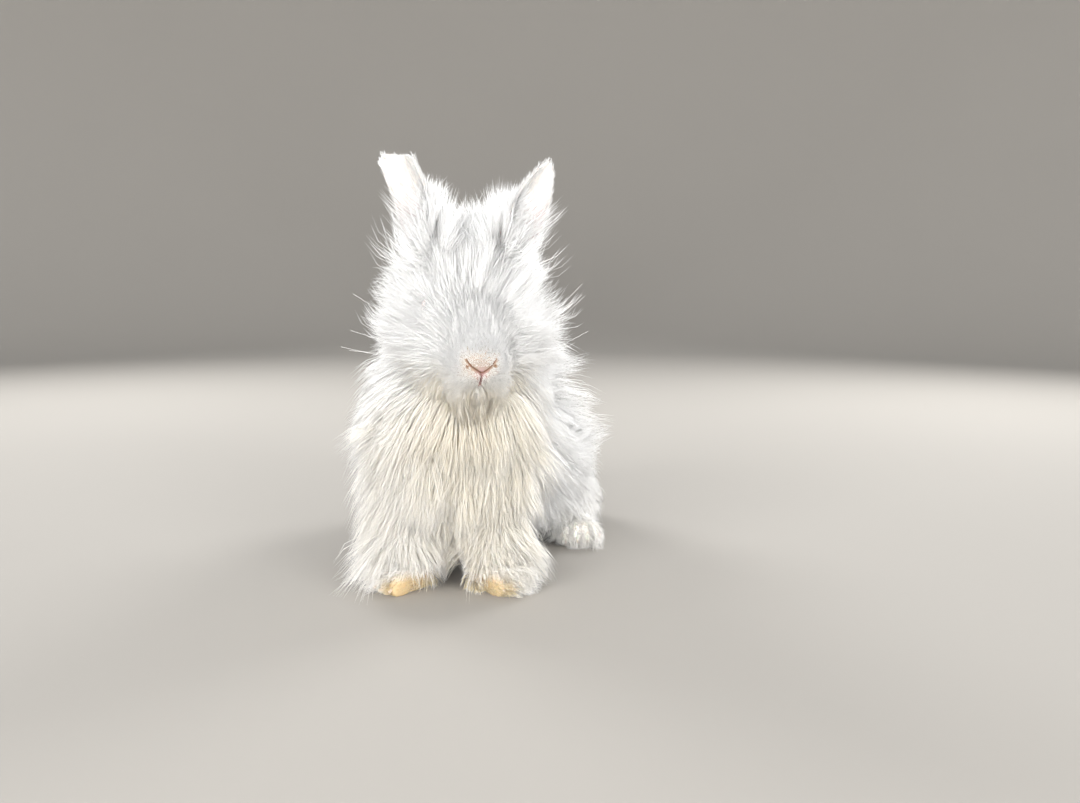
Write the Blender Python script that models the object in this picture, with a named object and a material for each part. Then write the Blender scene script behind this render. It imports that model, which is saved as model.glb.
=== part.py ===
"""A young English Angora rabbit, life size, sitting up on all fours with its head raised.

Every flesh form is a smooth blend of ellipsoids that is wrapped in rings of faces. The wool is flat tapered
locks rooted on those forms. Sizes are in millimetres here and become metres when a mesh is made. The rabbit
faces -Y, its left side is +X, and it stands on the floor at Z = 0.
"""

import math
import random

import bmesh
import bpy
import numpy as np
from mathutils import Matrix, Vector

MM = 0.001
GAP = 0.3  # clearance between nodes that touch
LOCK_SINK = 5.0
FLOOR_CLEAR = 0.8  # wool ends this far above the floor
DOWN = Vector((0, 0, -1))

# Head: nose tip, turn towards the rabbit's left, nod, and sizes along the head's own axes
NOSE = Vector((1.0, -104.0, 105.0))
HEAD_TURN = math.radians(13)
HEAD_NOD = math.radians(23)
SKULL_HALF_WIDTH = 22.0
EYE_RADIUS = 6.8
EYE_BACK, EYE_UP, EYE_SIDE = 33.0, 14.5, 15.2
LID_RADIUS = 7.9
LID_OPENING = (11.0, 8.6)

# Ears: root on the head (back, up, side), tip, direction of the opening
EAR_ROOT = {"right": (50.0, 20.0, -11.0), "left": (50.0, 20.0, 11.0)}
EAR_TIP = {"right": Vector((-39.0, -54.0, 205.5)), "left": Vector((32.0, -54.0, 200.5))}
EAR_OPENING = {"right": Vector((-0.62, -0.78, 0.0)), "left": Vector((0.70, -0.70, 0.1))}
EAR_SKIN = 2.0
EAR_SINK = 7.0
EAR_BOW = 2.5
EAR_SEED = {"right": 31, "left": 32}
EAR_COLUMNS = 6
# Ear rings: share of the length, half of the unrolled width, half of the roll in radians
EAR_RINGS = (
    (0.0, 8.5, 2.5),
    (0.12, 9.5, 2.3),
    (0.24, 11.5, 1.9),
    (0.38, 13.0, 1.45),
    (0.52, 13.5, 1.15),
    (0.66, 12.8, 0.95),
    (0.79, 10.8, 0.8),
    (0.9, 7.6, 0.7),
    (0.97, 4.2, 0.6),
    (1.0, 1.4, 0.5),
)

# Body: flesh, and the depth of the wool over it
FLESH_HALF_WIDTH = 36.0
COAT_DEPTH = 24.0
LEG_COAT_DEPTH = 15.0
HAUNCH_COAT_DEPTH = 17.0
CORE_SHARE = 0.45  # the core's share of the way from the flesh to the tips

CORE = COAT_DEPTH * CORE_SHARE
SIDES = ("right", "left")

# Feet: where each paw's middle stands on the floor, and how far it turns out
FORE_PAW = {"right": Vector((-37.0, -83.0, 0.0)), "left": Vector((6.0, -83.0, 0.0))}
FORE_PAW_SPLAY = {"right": math.radians(-48), "left": math.radians(48)}
FORE_PAW_SIZE = (30.0, 17.0, 13.0)
HIND_PAW = {"right": Vector((-42.0, 27.0, 0.0)), "left": Vector((45.0, 27.0, 0.0))}
HIND_PAW_SPLAY = {"right": math.radians(-6), "left": math.radians(8)}
HIND_PAW_SIZE = (70.0, 20.0, 14.0)
CLAW_POINTS = ((0.2, 0.0), (0.47, 0.7), (0.62, 2.2))  # share of the paw's height ahead, drop
TAIL_ROOT = Vector((2.0, 74.0, 46.0))

# Finishes: name, linear colour, roughness
WOOL = ("angora_wool", (0.86, 0.84, 0.80), 0.9)
PAW_FUR = ("paw_fur", (0.80, 0.68, 0.42), 0.9)
EAR_FUR = ("ear_fur", (0.86, 0.76, 0.73), 0.85)
EYE = ("eye", (0.16, 0.22, 0.28), 0.1)


def turned(direction, angle):
    """The direction turned about the vertical axis; a positive angle takes -Y towards +X."""
    return Matrix.Rotation(angle, 3, "Z") @ direction


def head_axes():
    """The head's forward, up and left-hand directions."""
    level = turned(Vector((0, -1, 0)), HEAD_TURN)
    forward = level * math.cos(HEAD_NOD) + DOWN * math.sin(HEAD_NOD)
    side = Vector((0, 0, 1)).cross(level)
    return forward.normalized(), side.cross(forward).normalized() * -1, side.normalized()


FORWARD, UP, LEFT = head_axes()


def on_head(back, up, side=0.0):
    """A point of the head, measured back from the nose tip, up and to the rabbit's left."""
    return NOSE - FORWARD * back + UP * up + LEFT * side


class Form:
    """A smooth blend of ellipsoids, each (centre, radii, 3x3 axes as columns)."""

    def __init__(self, blobs, soft=4.0):
        self.soft = soft
        self.centres = np.array([tuple(centre) for centre, _, _ in blobs])
        self.radii = np.array([tuple(radii) for _, radii, _ in blobs])
        self.axes = np.array([[list(row) for row in axes] for _, _, axes in blobs])

    def depth(self, points):
        """Distance outside the surface, negative inside, for an array of points."""
        local = np.einsum("bji,nbj->nbi", self.axes, points[:, None, :] - self.centres[None])
        k0 = np.linalg.norm(local / self.radii, axis=2)
        k1 = np.linalg.norm(local / self.radii**2, axis=2)
        each = k0 * (k0 - 1) / np.maximum(k1, 1e-9)
        nearest = each.min(axis=1)
        return nearest - self.soft * np.log(np.exp((nearest[:, None] - each) / self.soft).sum(axis=1))

    def hits(self, origins, directions, level=0.0, reach=110.0, step=1.0):
        """The outermost point along each ray where the depth falls to level."""
        far = np.full(len(origins), reach)
        for _ in range(int(reach / step)):
            outside = self.depth(origins + directions * far[:, None]) > level
            if not outside.any():
                break
            far = np.where(outside, far - step, far)
        low, high = far, far + step
        for _ in range(14):
            middle = (low + high) / 2
            outside = self.depth(origins + directions * middle[:, None]) > level
            high, low = np.where(outside, middle, high), np.where(outside, low, middle)
        return origins + directions * np.maximum(low, 0.05)[:, None]

    def normals(self, points):
        """Unit outward directions at points near the surface."""
        steps = np.eye(3) * 0.2
        slope = np.stack([self.depth(points + s) - self.depth(points - s) for s in steps], axis=1)
        return slope / np.linalg.norm(slope, axis=1, keepdims=True)


def blob(centre, radii, forward=(0, -1, 0), up=(0, 0, 1)):
    """An ellipsoid whose radii run along side, forward and up."""
    ahead = Vector(forward).normalized()
    side = ahead.cross(Vector(up)).normalized()
    top = side.cross(ahead)
    return Vector(centre), Vector(radii), Matrix((side, ahead, top)).transposed()


def head_blob(back, up, side, radii):
    """An ellipsoid on the head, its radii along side, forward and up."""
    return blob(on_head(back, up, side), radii, FORWARD, UP)


def rings_along(spine, end_rings):
    """(origin, latitude) of each ring: flat ones along the spine and domed ones at its ends."""
    dome = [math.pi / 2 * (i + 1) / (end_rings + 1) for i in range(end_rings)]
    first = [(spine[0], -angle) for angle in reversed(dome)]
    last = [(spine[-1], angle) for angle in dome]
    return first + [(point, 0.0) for point in spine] + last


def wrap(form, spine, segments, end_rings=2, level=0.0, up=(0, 0, 1), flat_z=None):
    """A closed mesh wrapped round the form: rings of vertices along the spine, with a point at each end."""
    spine = [Vector(p) for p in spine]
    along = (spine[-1] - spine[0]).normalized()
    side = along.cross(Vector(up)).normalized()
    top = side.cross(along)
    rings = rings_along(spine, end_rings)
    origins, directions = [spine[0]], [-along]
    for origin, latitude in rings:
        for k in range(segments):
            angle = 2 * math.pi * (k + 0.5) / segments
            across = side * math.cos(angle) + top * math.sin(angle)
            origins.append(origin)
            directions.append(across * math.cos(latitude) + along * math.sin(latitude))
    origins.append(spine[-1])
    directions.append(along)
    points = form.hits(np.array([tuple(o) for o in origins]), np.array([tuple(d) for d in directions]), level)
    if flat_z is not None:
        points[:, 2] = np.maximum(points[:, 2], flat_z)
    last = len(points) - 1
    faces = []
    for k in range(segments):
        after = (k + 1) % segments
        faces.append((0, 1 + after, 1 + k))
        for r in range(len(rings) - 1):
            a, b = 1 + r * segments, 1 + (r + 1) * segments
            faces += [(a + k, a + after, b + after), (a + k, b + after, b + k)]
        end = 1 + (len(rings) - 1) * segments
        faces.append((end + k, end + after, last))
    return [tuple(p) for p in points], faces


def line(start, end, count):
    """Evenly spaced points from start to end."""
    return [Vector(start).lerp(Vector(end), i / (count - 1)) for i in range(count)]


def strip(points, widths, thicknesses, side, grow=0.0):
    """A flat closed strip along the points, with a ridge down its outer face, ending in a point."""
    count = len(points) - 1
    spread = (grow * 6, grow * 1.3, grow * 2)  # how far a grown strip's edges, inner face and ridge move out

    def ring(i, more):
        """The two edges and the ridge at a point, raised until the strip that isn't grown clears the floor."""
        along = (points[min(i + 1, count)] - points[max(i - 1, 0)]).normalized()
        across = (side - along * side.dot(along)).normalized()
        through = across.cross(along)
        base = points[i] - through * (thicknesses[i] * 0.4 + more[1])
        ridge = points[i] + through * (thicknesses[i] * 0.6 + more[2])
        half = widths[i] / 2 + more[0]
        return [base + across * half, ridge, base - across * half]

    verts, faces = [], []
    for i in range(count):
        lowest = min(v.z for v in ring(i, (0, 0, 0)))
        rise = Vector((0, 0, max(0.0, FLOOR_CLEAR - lowest)))
        verts += [v + rise for v in ring(i, spread)]
    first, last = (points[0] - points[1]).normalized(), (points[-1] - points[-2]).normalized()
    verts[:3] = [v + first * grow * 2 for v in verts[:3]]
    rise = Vector((0, 0, max(0.0, FLOOR_CLEAR - points[-1].z)))
    verts.append(points[-1] + rise + last * grow * 9)
    faces.append((0, 1, 2))
    for i in range(count - 1):
        for k in range(3):
            a, b = 3 * i + k, 3 * i + (k + 1) % 3
            faces += [(a, b + 3, b), (a, a + 3, b + 3)]
    tip = len(verts) - 1
    for k in range(3):
        faces.append((3 * (count - 1) + k, tip, 3 * (count - 1) + (k + 1) % 3))
    return [tuple(v) for v in verts], faces


# Locks: share of the length of each ring from the root, then share of the width and of the thickness there
LONG_LOCK = ((0.0, 0.36, 0.72, 1.0), (0.7, 1.0, 0.62), (0.8, 1.0, 0.7))
SHORT_LOCK = ((0.0, 0.5, 1.0), (0.8, 0.95), (0.9, 0.9))


# More lift in degrees and share of the length, tried in turn until a lock is clear
LOCK_TRIES = ((0, 1.0), (7, 1.0), (-8, 0.9), (14, 0.9), (0, 0.75), (14, 0.7), (-10, 0.65), (22, 0.6))


def lock_path(root, normal, lie, length, lift, droop, lowest, stations):
    """The points of a lock that leaves the skin at the lift angle, bends over to the lie and droops."""
    start = (normal * math.sin(lift) + lie * math.cos(lift)).normalized()
    end = (lie + normal * math.sin(lift) * 0.35 + DOWN * droop).normalized()
    points = [root - start * LOCK_SINK]
    here = root.copy()
    for before, after in zip(stations, stations[1:]):
        share = (before + after) / 2
        here = here + start.lerp(end, share).normalized() * length * (after - before)
        points.append(Vector((here.x, here.y, max(here.z, lowest))))
    return points


def lock_shape(points, side, width, thickness, grow=0.0):
    """A flat tapered lock along its path."""
    _, widths, thicknesses = LONG_LOCK if len(points) == len(LONG_LOCK[0]) else SHORT_LOCK
    widths = [share * width for share in widths]
    thicknesses = [share * thickness for share in thicknesses]
    return strip(points, widths, thicknesses, side, grow)


def mesh_object(name, verts, faces):
    """A mesh object in metres, from points in millimetres."""
    mesh = bpy.data.meshes.new(name)
    mesh.from_pydata([tuple(c * MM for c in v) for v in verts], [], faces)
    mesh.update()
    made = bpy.data.objects.new(name, mesh)
    bpy.context.scene.collection.objects.link(made)
    return made


def closed_outward(made):
    """Turns the faces of a closed mesh outwards and cuts them into triangles."""
    work = bmesh.new()
    work.from_mesh(made.data)
    bmesh.ops.recalc_face_normals(work, faces=work.faces)
    bmesh.ops.triangulate(work, faces=work.faces)
    work.to_mesh(made.data)
    work.free()
    return made


def apply_modifiers(made):
    """Replaces the object's mesh by its evaluated one."""
    graph = bpy.context.evaluated_depsgraph_get()
    mesh = bpy.data.meshes.new_from_object(made.evaluated_get(graph))
    made.modifiers.clear()
    made.data = mesh
    return made


def combine(made, shapes, operation):
    """Joins the shapes to the object, or cuts them from it, and removes them."""
    if not shapes:
        return made
    group = bpy.data.collections.new("pieces")
    bpy.context.scene.collection.children.link(group)
    pieces = []
    for verts, faces in shapes:
        piece = closed_outward(mesh_object("piece", verts, faces))
        bpy.context.scene.collection.objects.unlink(piece)
        group.objects.link(piece)
        pieces.append(piece)
    step = made.modifiers.new("combine", "BOOLEAN")
    step.operation = operation
    step.operand_type = "COLLECTION"
    step.collection = group
    step.solver = "MANIFOLD"
    apply_modifiers(made)
    for piece in pieces:
        bpy.data.objects.remove(piece)
    bpy.data.collections.remove(group)
    return made


def keep_largest(made):
    """Keeps only the largest closed surface, and returns how many others were dropped."""
    work = bmesh.new()
    work.from_mesh(made.data)
    unseen = set(work.faces)
    parts = []
    while unseen:
        stack = [unseen.pop()]
        part = []
        while stack:
            face = stack.pop()
            part.append(face)
            for edge in face.edges:
                for other in edge.link_faces:
                    if other in unseen:
                        unseen.remove(other)
                        stack.append(other)
        parts.append(part)
    parts.sort(key=lambda part: sum(face.calc_area() for face in part))
    loose = [face for part in parts[:-1] for face in part]
    bmesh.ops.delete(work, geom=loose, context="FACES")
    work.to_mesh(made.data)
    work.free()
    return len(parts) - 1


def material(name, colour, roughness):
    """A plain Principled finish."""
    made = bpy.data.materials.get(name) or bpy.data.materials.new(name)
    made.use_nodes = True
    shader = made.node_tree.nodes["Principled BSDF"]
    shader.inputs["Base Color"].default_value = (*colour, 1)
    shader.inputs["Roughness"].default_value = roughness
    return made


def node(name, shapes, finish, cutters=()):
    """One node of the rabbit: its shapes joined, then cut clear of its neighbours."""
    made = closed_outward(mesh_object(name, *shapes[0]))
    combine(made, shapes[1:], "UNION")
    for group in cutters:
        combine(made, group, "DIFFERENCE")
    dropped = keep_largest(made)
    if dropped:
        print(f"{name}: {dropped} loose pieces dropped")
    made.data.materials.clear()
    made.data.materials.append(material(*finish))
    return made


def head_flesh():
    """The skull, cheeks, muzzle, whisker pads, nose and chin."""
    blobs = [
        head_blob(42, 8, 0, (SKULL_HALF_WIDTH - 1, 24, 19)),
        head_blob(22, 5, 0, (12.5, 20, 14)),
        head_blob(4.2, 2.8, 0, (5.8, 4.8, 5.2)),
        head_blob(14, -10.5, 0, (6.5, 8, 4.5)),
    ]
    for side in (-1, 1):
        blobs.append(head_blob(11, -2.5, 5.5 * side, (8, 10, 8)))
        blobs.append(head_blob(34, -4, 8 * side, (13.5, 17, 14.5)))
    return blobs


def head_form():
    """The head with the wool of its cheeks, crown and nape, which leaves the face bare."""
    blobs = head_flesh()
    blobs.append(head_blob(54, 14, 0, (24, 18, 19)))
    for side in (-1, 1):
        blobs.append(head_blob(46, -6, 15 * side, (15, 17, 18)))
    return Form(blobs, soft=2.6)


def neck_form():
    """The short neck under the wool."""
    return Form([blob((-9, -58, 94), (20, 18, 26)), blob((-9, -38, 96), (22, 22, 22))], soft=5)


def torso_form():
    """The chest, shoulders, barrel, belly and rump."""
    return Form(
        [
            blob((-13, -52, 60), (26, 18, 32)),
            blob((-10, -30, 65), (32, 26, 33)),
            blob((-5, 5, 62), (FLESH_HALF_WIDTH, 40, 36)),
            blob((-4, 10, 44), (32, 46, 27)),
            blob((0, 46, 58), (FLESH_HALF_WIDTH - 2, 35, 39)),
        ],
        soft=5,
    )


def fore_leg_ends(side):
    """The wrist and the shoulder of a fore leg."""
    paw = FORE_PAW[side]
    wrist = Vector((paw.x, paw.y + 5, 13))
    shoulder = Vector((paw.x * 0.75 - 3.5, -58, 60))
    return wrist, shoulder


def fore_leg_form(side):
    """A fore leg from the wrist to the shoulder."""
    wrist, shoulder = fore_leg_ends(side)
    middle = wrist.lerp(shoulder, 0.5)
    return Form(
        [
            blob(wrist + Vector((0, 0, 5)), (8, 8, 11)),
            blob(middle, (9, 9, 20)),
            blob(shoulder, (12, 12, 18)),
        ],
        soft=4,
    )


def hind_leg_form(side):
    """A folded hind leg: thigh, knee and hock."""
    sign = 1 if side == "left" else -1
    return Form(
        [
            blob((2 + 29 * sign, 40, 42), (13, 28, 28)),
            blob((2 + 32 * sign, 12, 36), (12, 18, 20)),
            blob((2 + 36 * sign, 48, 22), (9, 24, 12)),
        ],
        soft=4,
    )


def tail_form():
    """The short upturned tail."""
    return Form([blob(TAIL_ROOT + Vector((0, 8, 2)), (8, 13, 9)), blob(TAIL_ROOT, (8, 10, 8))], soft=3)


def paw_axes(splay):
    """A paw's forward and side directions on the floor."""
    ahead = turned(Vector((0, -1, 0)), splay)
    return ahead, Vector((0, 0, 1)).cross(ahead).normalized()


def toe_bases(middle, splay, length, width, height):
    """The middle of each of the four toes and the way it points."""
    ahead, side = paw_axes(splay)
    bases = []
    for k in range(4):
        share = (k - 1.5) / 4
        reach = length * 0.5 - height * 0.5 - 0.9 * width * share * share
        centre = middle + ahead * reach + side * width * share * 0.98 + Vector((0, 0, height * 0.32))
        bases.append((centre, (ahead + side * share * 0.45).normalized()))
    return bases


def paw_form(middle, splay, length, width, height):
    """A furred paw: its sole with rounded toes at the front."""
    ahead, _ = paw_axes(splay)
    back = middle - ahead * length * 0.1 + Vector((0, 0, height * 0.42))
    front = middle + ahead * (length * 0.5 - height * 0.95) + Vector((0, 0, height * 0.4))
    blobs = [
        blob(back, (width * 0.46, length * 0.40, height * 0.6), ahead),
        blob(front, (width * 0.48, height * 0.7, height * 0.5), ahead),
    ]
    for centre, outward in toe_bases(middle, splay, length, width, height):
        blobs.append(blob(centre, (width * 0.165, height * 0.5, height * 0.42), outward))
    return Form(blobs, soft=0.7)


def paw_shapes(middle, splay, size, segments, grow=0.0):
    """A paw and its claws, flat on the floor."""
    length, width, height = size
    form = paw_form(middle, splay, *size)
    ahead, side = paw_axes(splay)
    lift = Vector((0, 0, height * 0.4))
    spine = line(middle - ahead * length * 0.34 + lift, middle + ahead * (length * 0.5 - height * 0.45) + lift, 6)
    shapes = [wrap(form, spine, segments, 2, grow, flat_z=-5.0 if grow else 0.0)]
    for centre, outward in toe_bases(middle, splay, *size):
        points = [centre + outward * height * reach + DOWN * drop for reach, drop in CLAW_POINTS]
        shapes.append(strip(points, (1.8, 1.5), (1.8, 1.5), side, grow))
    return shapes


def ear_frame(side):
    """An ear's root, its direction, its length, the way it opens and the way across it."""
    root = on_head(*EAR_ROOT[side])
    axis = (EAR_TIP[side] - root).normalized()
    root = root - axis * EAR_SINK
    opening = tangent(EAR_OPENING[side], axis)
    return root, axis, (EAR_TIP[side] - root).length, opening, axis.cross(opening)


def ear_arc(side, t, half, spread):
    """The middle of an ear's roll at a share of its length, and its radius."""
    root, axis, length, opening, _ = ear_frame(side)
    radius = half / spread
    return root + axis * length * t + opening * (radius - EAR_BOW * math.sin(math.pi * t)), radius


def ear_shapes(side, grow=0.0):
    """A cupped ear, rolled at its root and open towards its tip."""
    _, axis, _, opening, across = ear_frame(side)
    rings = []
    for t, half, spread in EAR_RINGS:
        centre, radius = ear_arc(side, t, half, spread)
        outer, inner = [], []
        for k in range(EAR_COLUMNS + 1):
            share = 2 * k / EAR_COLUMNS - 1
            angle = spread * share * (1 + grow / half)
            ray = across * math.sin(angle) - opening * math.cos(angle)
            skin = EAR_SKIN * (1 - 0.5 * abs(share) ** 6) / 2
            outer.append(centre + ray * (radius + skin + grow))
            inner.append(centre + ray * (radius - skin - grow))
        rings.append((outer, inner))
    return [leaf(rings, axis * grow)]


def ear_wool(side):
    """Tufts along the inner edge of an ear and a fringe at its tip."""
    _, axis, _, opening, across = ear_frame(side)
    inward = Vector((1 if side == "right" else -1, 0, 0))
    edge = 1 if across.dot(inward) > 0 else -1
    chance = random.Random(EAR_SEED[side])
    locks = []
    for t, half, spread in EAR_RINGS[2:-3]:
        centre, radius = ear_arc(side, t, half, spread)
        angle = spread * 0.93 * edge
        out = across * math.sin(angle) - opening * math.cos(angle)
        root = centre + out * radius
        lie = axis * (1.0 - 0.45 * t) + across * edge * 0.6 - opening * 0.15 + axis * chance.uniform(-0.1, 0.1)
        lie.normalize()
        reach = (19 - 10 * t) * chance.uniform(0.9, 1.1)
        points = [root - lie * 1.5 - out * 0.3, root + lie * reach * 0.5 + out * 1.4]
        points.append(points[-1] + (lie * 0.85 + DOWN * 0.2 + out * 0.1) * reach * 0.5)
        locks.append((points, lie.cross(-opening).normalized(), 10.0 - 3 * t, 1.8))
    return locks


def leaf(rings, extend):
    """A closed leaf from rings of an outer and an inner row of points."""
    verts, faces = [], []
    last = len(rings) - 1
    for i, (outer, inner) in enumerate(rings):
        shift = extend if i == last else (-extend if i == 0 else Vector())
        verts += [tuple(p + shift) for p in outer] + [tuple(p + shift) for p in reversed(inner)]
    around = len(rings[0][0]) * 2
    for i in range(last):
        for k in range(around):
            a, b = i * around + k, i * around + (k + 1) % around
            faces += [(a, b, b + around), (a, b + around, a + around)]
    for ring in (0, last):
        start = ring * around
        for k in range(around // 2 - 1):
            over = start + around - 1 - k
            faces += [(start + k, start + k + 1, over - 1), (start + k, over - 1, over)]
    return verts, faces


def tangent(direction, normal):
    """The part of a direction that lies along the surface."""
    flat = direction - normal * direction.dot(normal)
    return flat.normalized() if flat.length > 1e-6 else normal.orthogonal().normalized()


class Coat:
    """Locks of wool rooted where rays from inside a form meet its core, kept clear of other forms."""

    def __init__(self, form, core_level, tips, seed, avoid=(), covered=(), kind=LONG_LOCK):
        self.form = form
        self.core_level = core_level
        self.tips = tips
        self.random = random.Random(seed)
        self.avoid = avoid
        self.covered = covered
        self.stations = kind[0]
        self.locks = []

    def roots(self, rays):
        """Where the rays, each turned a little by chance, meet the core, and the way out there."""
        vary = self.random.uniform
        origins = np.array([tuple(origin) for origin, _ in rays])
        directions = np.array([tuple((d + d.orthogonal() * vary(-0.06, 0.06)).normalized()) for _, d in rays])
        roots = self.form.hits(origins, directions, self.core_level)
        for other, level in self.covered:
            roots = roots[other.depth(roots) > level]
        return zip(map(Vector, roots), map(Vector, self.form.normals(roots)))

    def add(self, rays, lie_at, length, width, thickness=3.2, lift=34, droop=0.3):
        """Adds a lock for each (origin, direction); lie_at(root, normal) gives the lie of the coat."""
        vary = self.random.uniform
        for root, normal in self.roots(rays):
            lie = tangent(Vector(lie_at(root, normal)), normal)
            lie = (Matrix.Rotation(math.radians(vary(-9, 9)), 3, normal) @ lie).normalized()
            self.grow(root, normal, lie, length * vary(0.88, 1.12), width * vary(0.9, 1.1), thickness, lift + vary(-5, 5), droop)

    def grow(self, root, normal, lie, length, width, thickness, lift, droop):
        """Adds one lock, lifted or shortened until it is clear of the forms to avoid."""
        for more, share in LOCK_TRIES:
            lowest = FLOOR_CLEAR + thickness / 2
            angle = math.radians(lift + more)
            points = lock_path(root, normal, lie, length * share, angle, droop, lowest, self.stations)
            if self.clear(points) and self.form.depth(np.array([tuple(points[-1])]))[0] < self.tips:
                self.locks.append((points, lie.cross(normal).normalized(), width, thickness))
                return

    def clear(self, points):
        """Whether the path from its root on stays outside every form to avoid."""
        free = np.array([tuple(p) for p in points[1:]] + [tuple((p + q) / 2) for p, q in zip(points[1:], points[2:])])
        return all((other.depth(free) > level).all() for other, level in self.avoid)

    def shapes(self, grow=0.0):
        """Every lock as a closed shape."""
        return [lock_shape(*each, grow) for each in self.locks]


def fan(origin, axis, up, latitude, count, start=0.0, stop=360.0, offset=0.0):
    """Rays from one point, evenly turned about the axis at a latitude, in degrees, from its equator."""
    axis = Vector(axis).normalized()
    side = axis.cross(Vector(up)).normalized()
    top = side.cross(axis)
    tilt = math.radians(latitude)
    rays = []
    for k in range(count):
        angle = math.radians(start + (stop - start) * (k + 0.5 + offset) / count)
        across = side * math.sin(angle) + top * math.cos(angle)
        rays.append((Vector(origin), (across * math.cos(tilt) + axis * math.sin(tilt)).normalized()))
    return rays


def eye_centre(side):
    """The middle of an eye."""
    return on_head(EYE_BACK, EYE_UP, EYE_SIDE if side == "left" else -EYE_SIDE)


def eye_look(side):
    """The direction an eye faces: outwards, a little forward and up."""
    return (LEFT * (1 if side == "left" else -1) + FORWARD * 0.42 + UP * 0.16).normalized()


def ball(centre, radius, look, rings, segments):
    """A ball with its pole where it looks."""
    form = Form([blob(centre, (radius, radius, radius))], soft=1)
    return wrap(form, [centre - look * 0.01, centre + look * 0.01], segments, rings)


def eye_shapes(side, grow=0.0):
    """An eyeball."""
    return [ball(eye_centre(side), EYE_RADIUS + grow, eye_look(side), 3, 12)]


def lid_shapes(side):
    """The lids that hold an eye."""
    return [ball(eye_centre(side) - eye_look(side) * 0.6, LID_RADIUS, eye_look(side), 3, 12)]


def almond(side):
    """The cutter that opens the lids."""
    look = eye_look(side)
    along = (FORWARD - look * FORWARD.dot(look)).normalized()
    across = look.cross(along)
    centre = eye_centre(side) + look * EYE_RADIUS * 0.62
    verts, faces = [], []
    steps = 12
    for deep, share in ((0.0, 0.8), (8.0, 1.25)):
        for k in range(steps):
            angle = 2 * math.pi * k / steps
            pinch = 1 - 0.25 * abs(math.cos(angle)) ** 3
            x = math.cos(angle) * LID_OPENING[0] / 2 * share
            y = math.sin(angle) * LID_OPENING[1] / 2 * share * pinch
            verts.append(tuple(centre + along * x + across * y + look * deep))
    faces.append(tuple(reversed(range(steps))))
    faces.append(tuple(range(steps, 2 * steps)))
    for k in range(steps):
        after = (k + 1) % steps
        faces.append((k, after, after + steps, k + steps))
    return [(verts, faces)]


def slot_cutter(points, width, depth_direction, depth):
    """A thin cutter along the points, open to the outside and sunk by depth."""
    verts, faces = [], []
    for i, p in enumerate(points):
        along = (points[min(i + 1, len(points) - 1)] - points[max(i - 1, 0)]).normalized()
        across = along.cross(depth_direction).normalized() * width / 2
        outer = p - depth_direction * 3.0
        inner = p + depth_direction * depth
        verts += [tuple(outer + across), tuple(outer - across), tuple(inner - across * 0.5), tuple(inner + across * 0.5)]
    for i in range(len(points) - 1):
        for k in range(4):
            a, b = 4 * i + k, 4 * i + (k + 1) % 4
            faces.append((a, b, b + 4, a + 4))
    last = 4 * (len(points) - 1)
    faces += [(3, 2, 1, 0), (last, last + 1, last + 2, last + 3)]
    return verts, faces


def face_cutters():
    """The nostrils, the cleft below the nose and the line of the mouth."""
    form = Form(head_flesh(), soft=2.6)

    def surface(back, up, side):
        """The face's surface straight ahead of a point inside the head."""
        inside = on_head(24, up, side)
        return Vector(form.hits(np.array([tuple(inside)]), np.array([tuple(FORWARD)]))[0])

    cutters = []
    cleft = [surface(0, up, 0) for up in (1.2, -1.0, -3.2, -5.4)]
    cutters.append(slot_cutter(cleft, 0.9, -FORWARD, 2.2))
    for sign in (-1, 1):
        nostril = [surface(0, up, sign * out) for out, up in ((0.8, 1.0), (2.2, 1.9), (3.6, 3.3), (4.6, 4.6))]
        cutters.append(slot_cutter(nostril, 1.1, -FORWARD, 2.4))
        lips = [surface(0, up, sign * out) for out, up in ((-0.2, -5.2), (2.5, -6.4), (5.0, -7.0), (7.4, -6.6), (9.4, -5.4))]
        cutters.append(slot_cutter(lips, 0.9, -FORWARD, 2.2))
    return cutters


def clear_scene():
    """Removes whatever the scene starts with."""
    for each in list(bpy.data.objects):
        bpy.data.objects.remove(each)


def head_core(grow=0.0):
    """The head's core, wrapped in rings that follow the head from the nape to the nose."""
    backs = (58, 50, 42, 34, 27, 21, 16, 12, 9)
    spine = [on_head(back, 8 - 0.12 * max(0, 40 - back) - max(0, 22 - back) * 0.3) for back in backs]
    return [wrap(head_form(), spine, 22, 4, grow, up=UP)]


def torso_core(grow=0.0):
    """The torso's core."""
    spine = [(-13 + 13 * t, -56 + 116 * t, 58 + 12 * t * (1 - t)) for t in (k / 6 for k in range(7))]
    return [wrap(torso_form(), spine, 16, 3, CORE + grow, flat_z=FLOOR_CLEAR - grow)]


def neck_core(grow=0.0):
    """The neck's core."""
    return [wrap(neck_form(), line((-9, -48, 80), (-9, -48, 110), 3), 14, 2, CORE + grow, up=(0, 1, 0))]


def hind_core(side, grow=0.0):
    """A hind leg's core."""
    x = 2 + (32 if side == "left" else -32)
    spine = line((x, 56, 32), (x, 10, 34), 4)
    level = HAUNCH_COAT_DEPTH * CORE_SHARE + grow
    return [wrap(hind_leg_form(side), spine, 12, 2, level, flat_z=FLOOR_CLEAR - grow)]


def fore_core(side, grow=0.0):
    """A fore leg's core."""
    wrist, shoulder = fore_leg_ends(side)
    level = LEG_COAT_DEPTH * CORE_SHARE + grow
    spine = line(wrist, shoulder, 4)
    return [wrap(fore_leg_form(side), spine, 10, 2, level, up=(0, 1, 0), flat_z=FLOOR_CLEAR - grow)]


def tail_core(grow=0.0):
    """The tail's core."""
    return [wrap(tail_form(), line(TAIL_ROOT, TAIL_ROOT + Vector((0, 12, 3)), 3), 10, 2, 5 + grow)]


def fore_paw(side, grow=0.0):
    """A fore paw."""
    return paw_shapes(FORE_PAW[side], FORE_PAW_SPLAY[side], FORE_PAW_SIZE, 10, grow)


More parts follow.
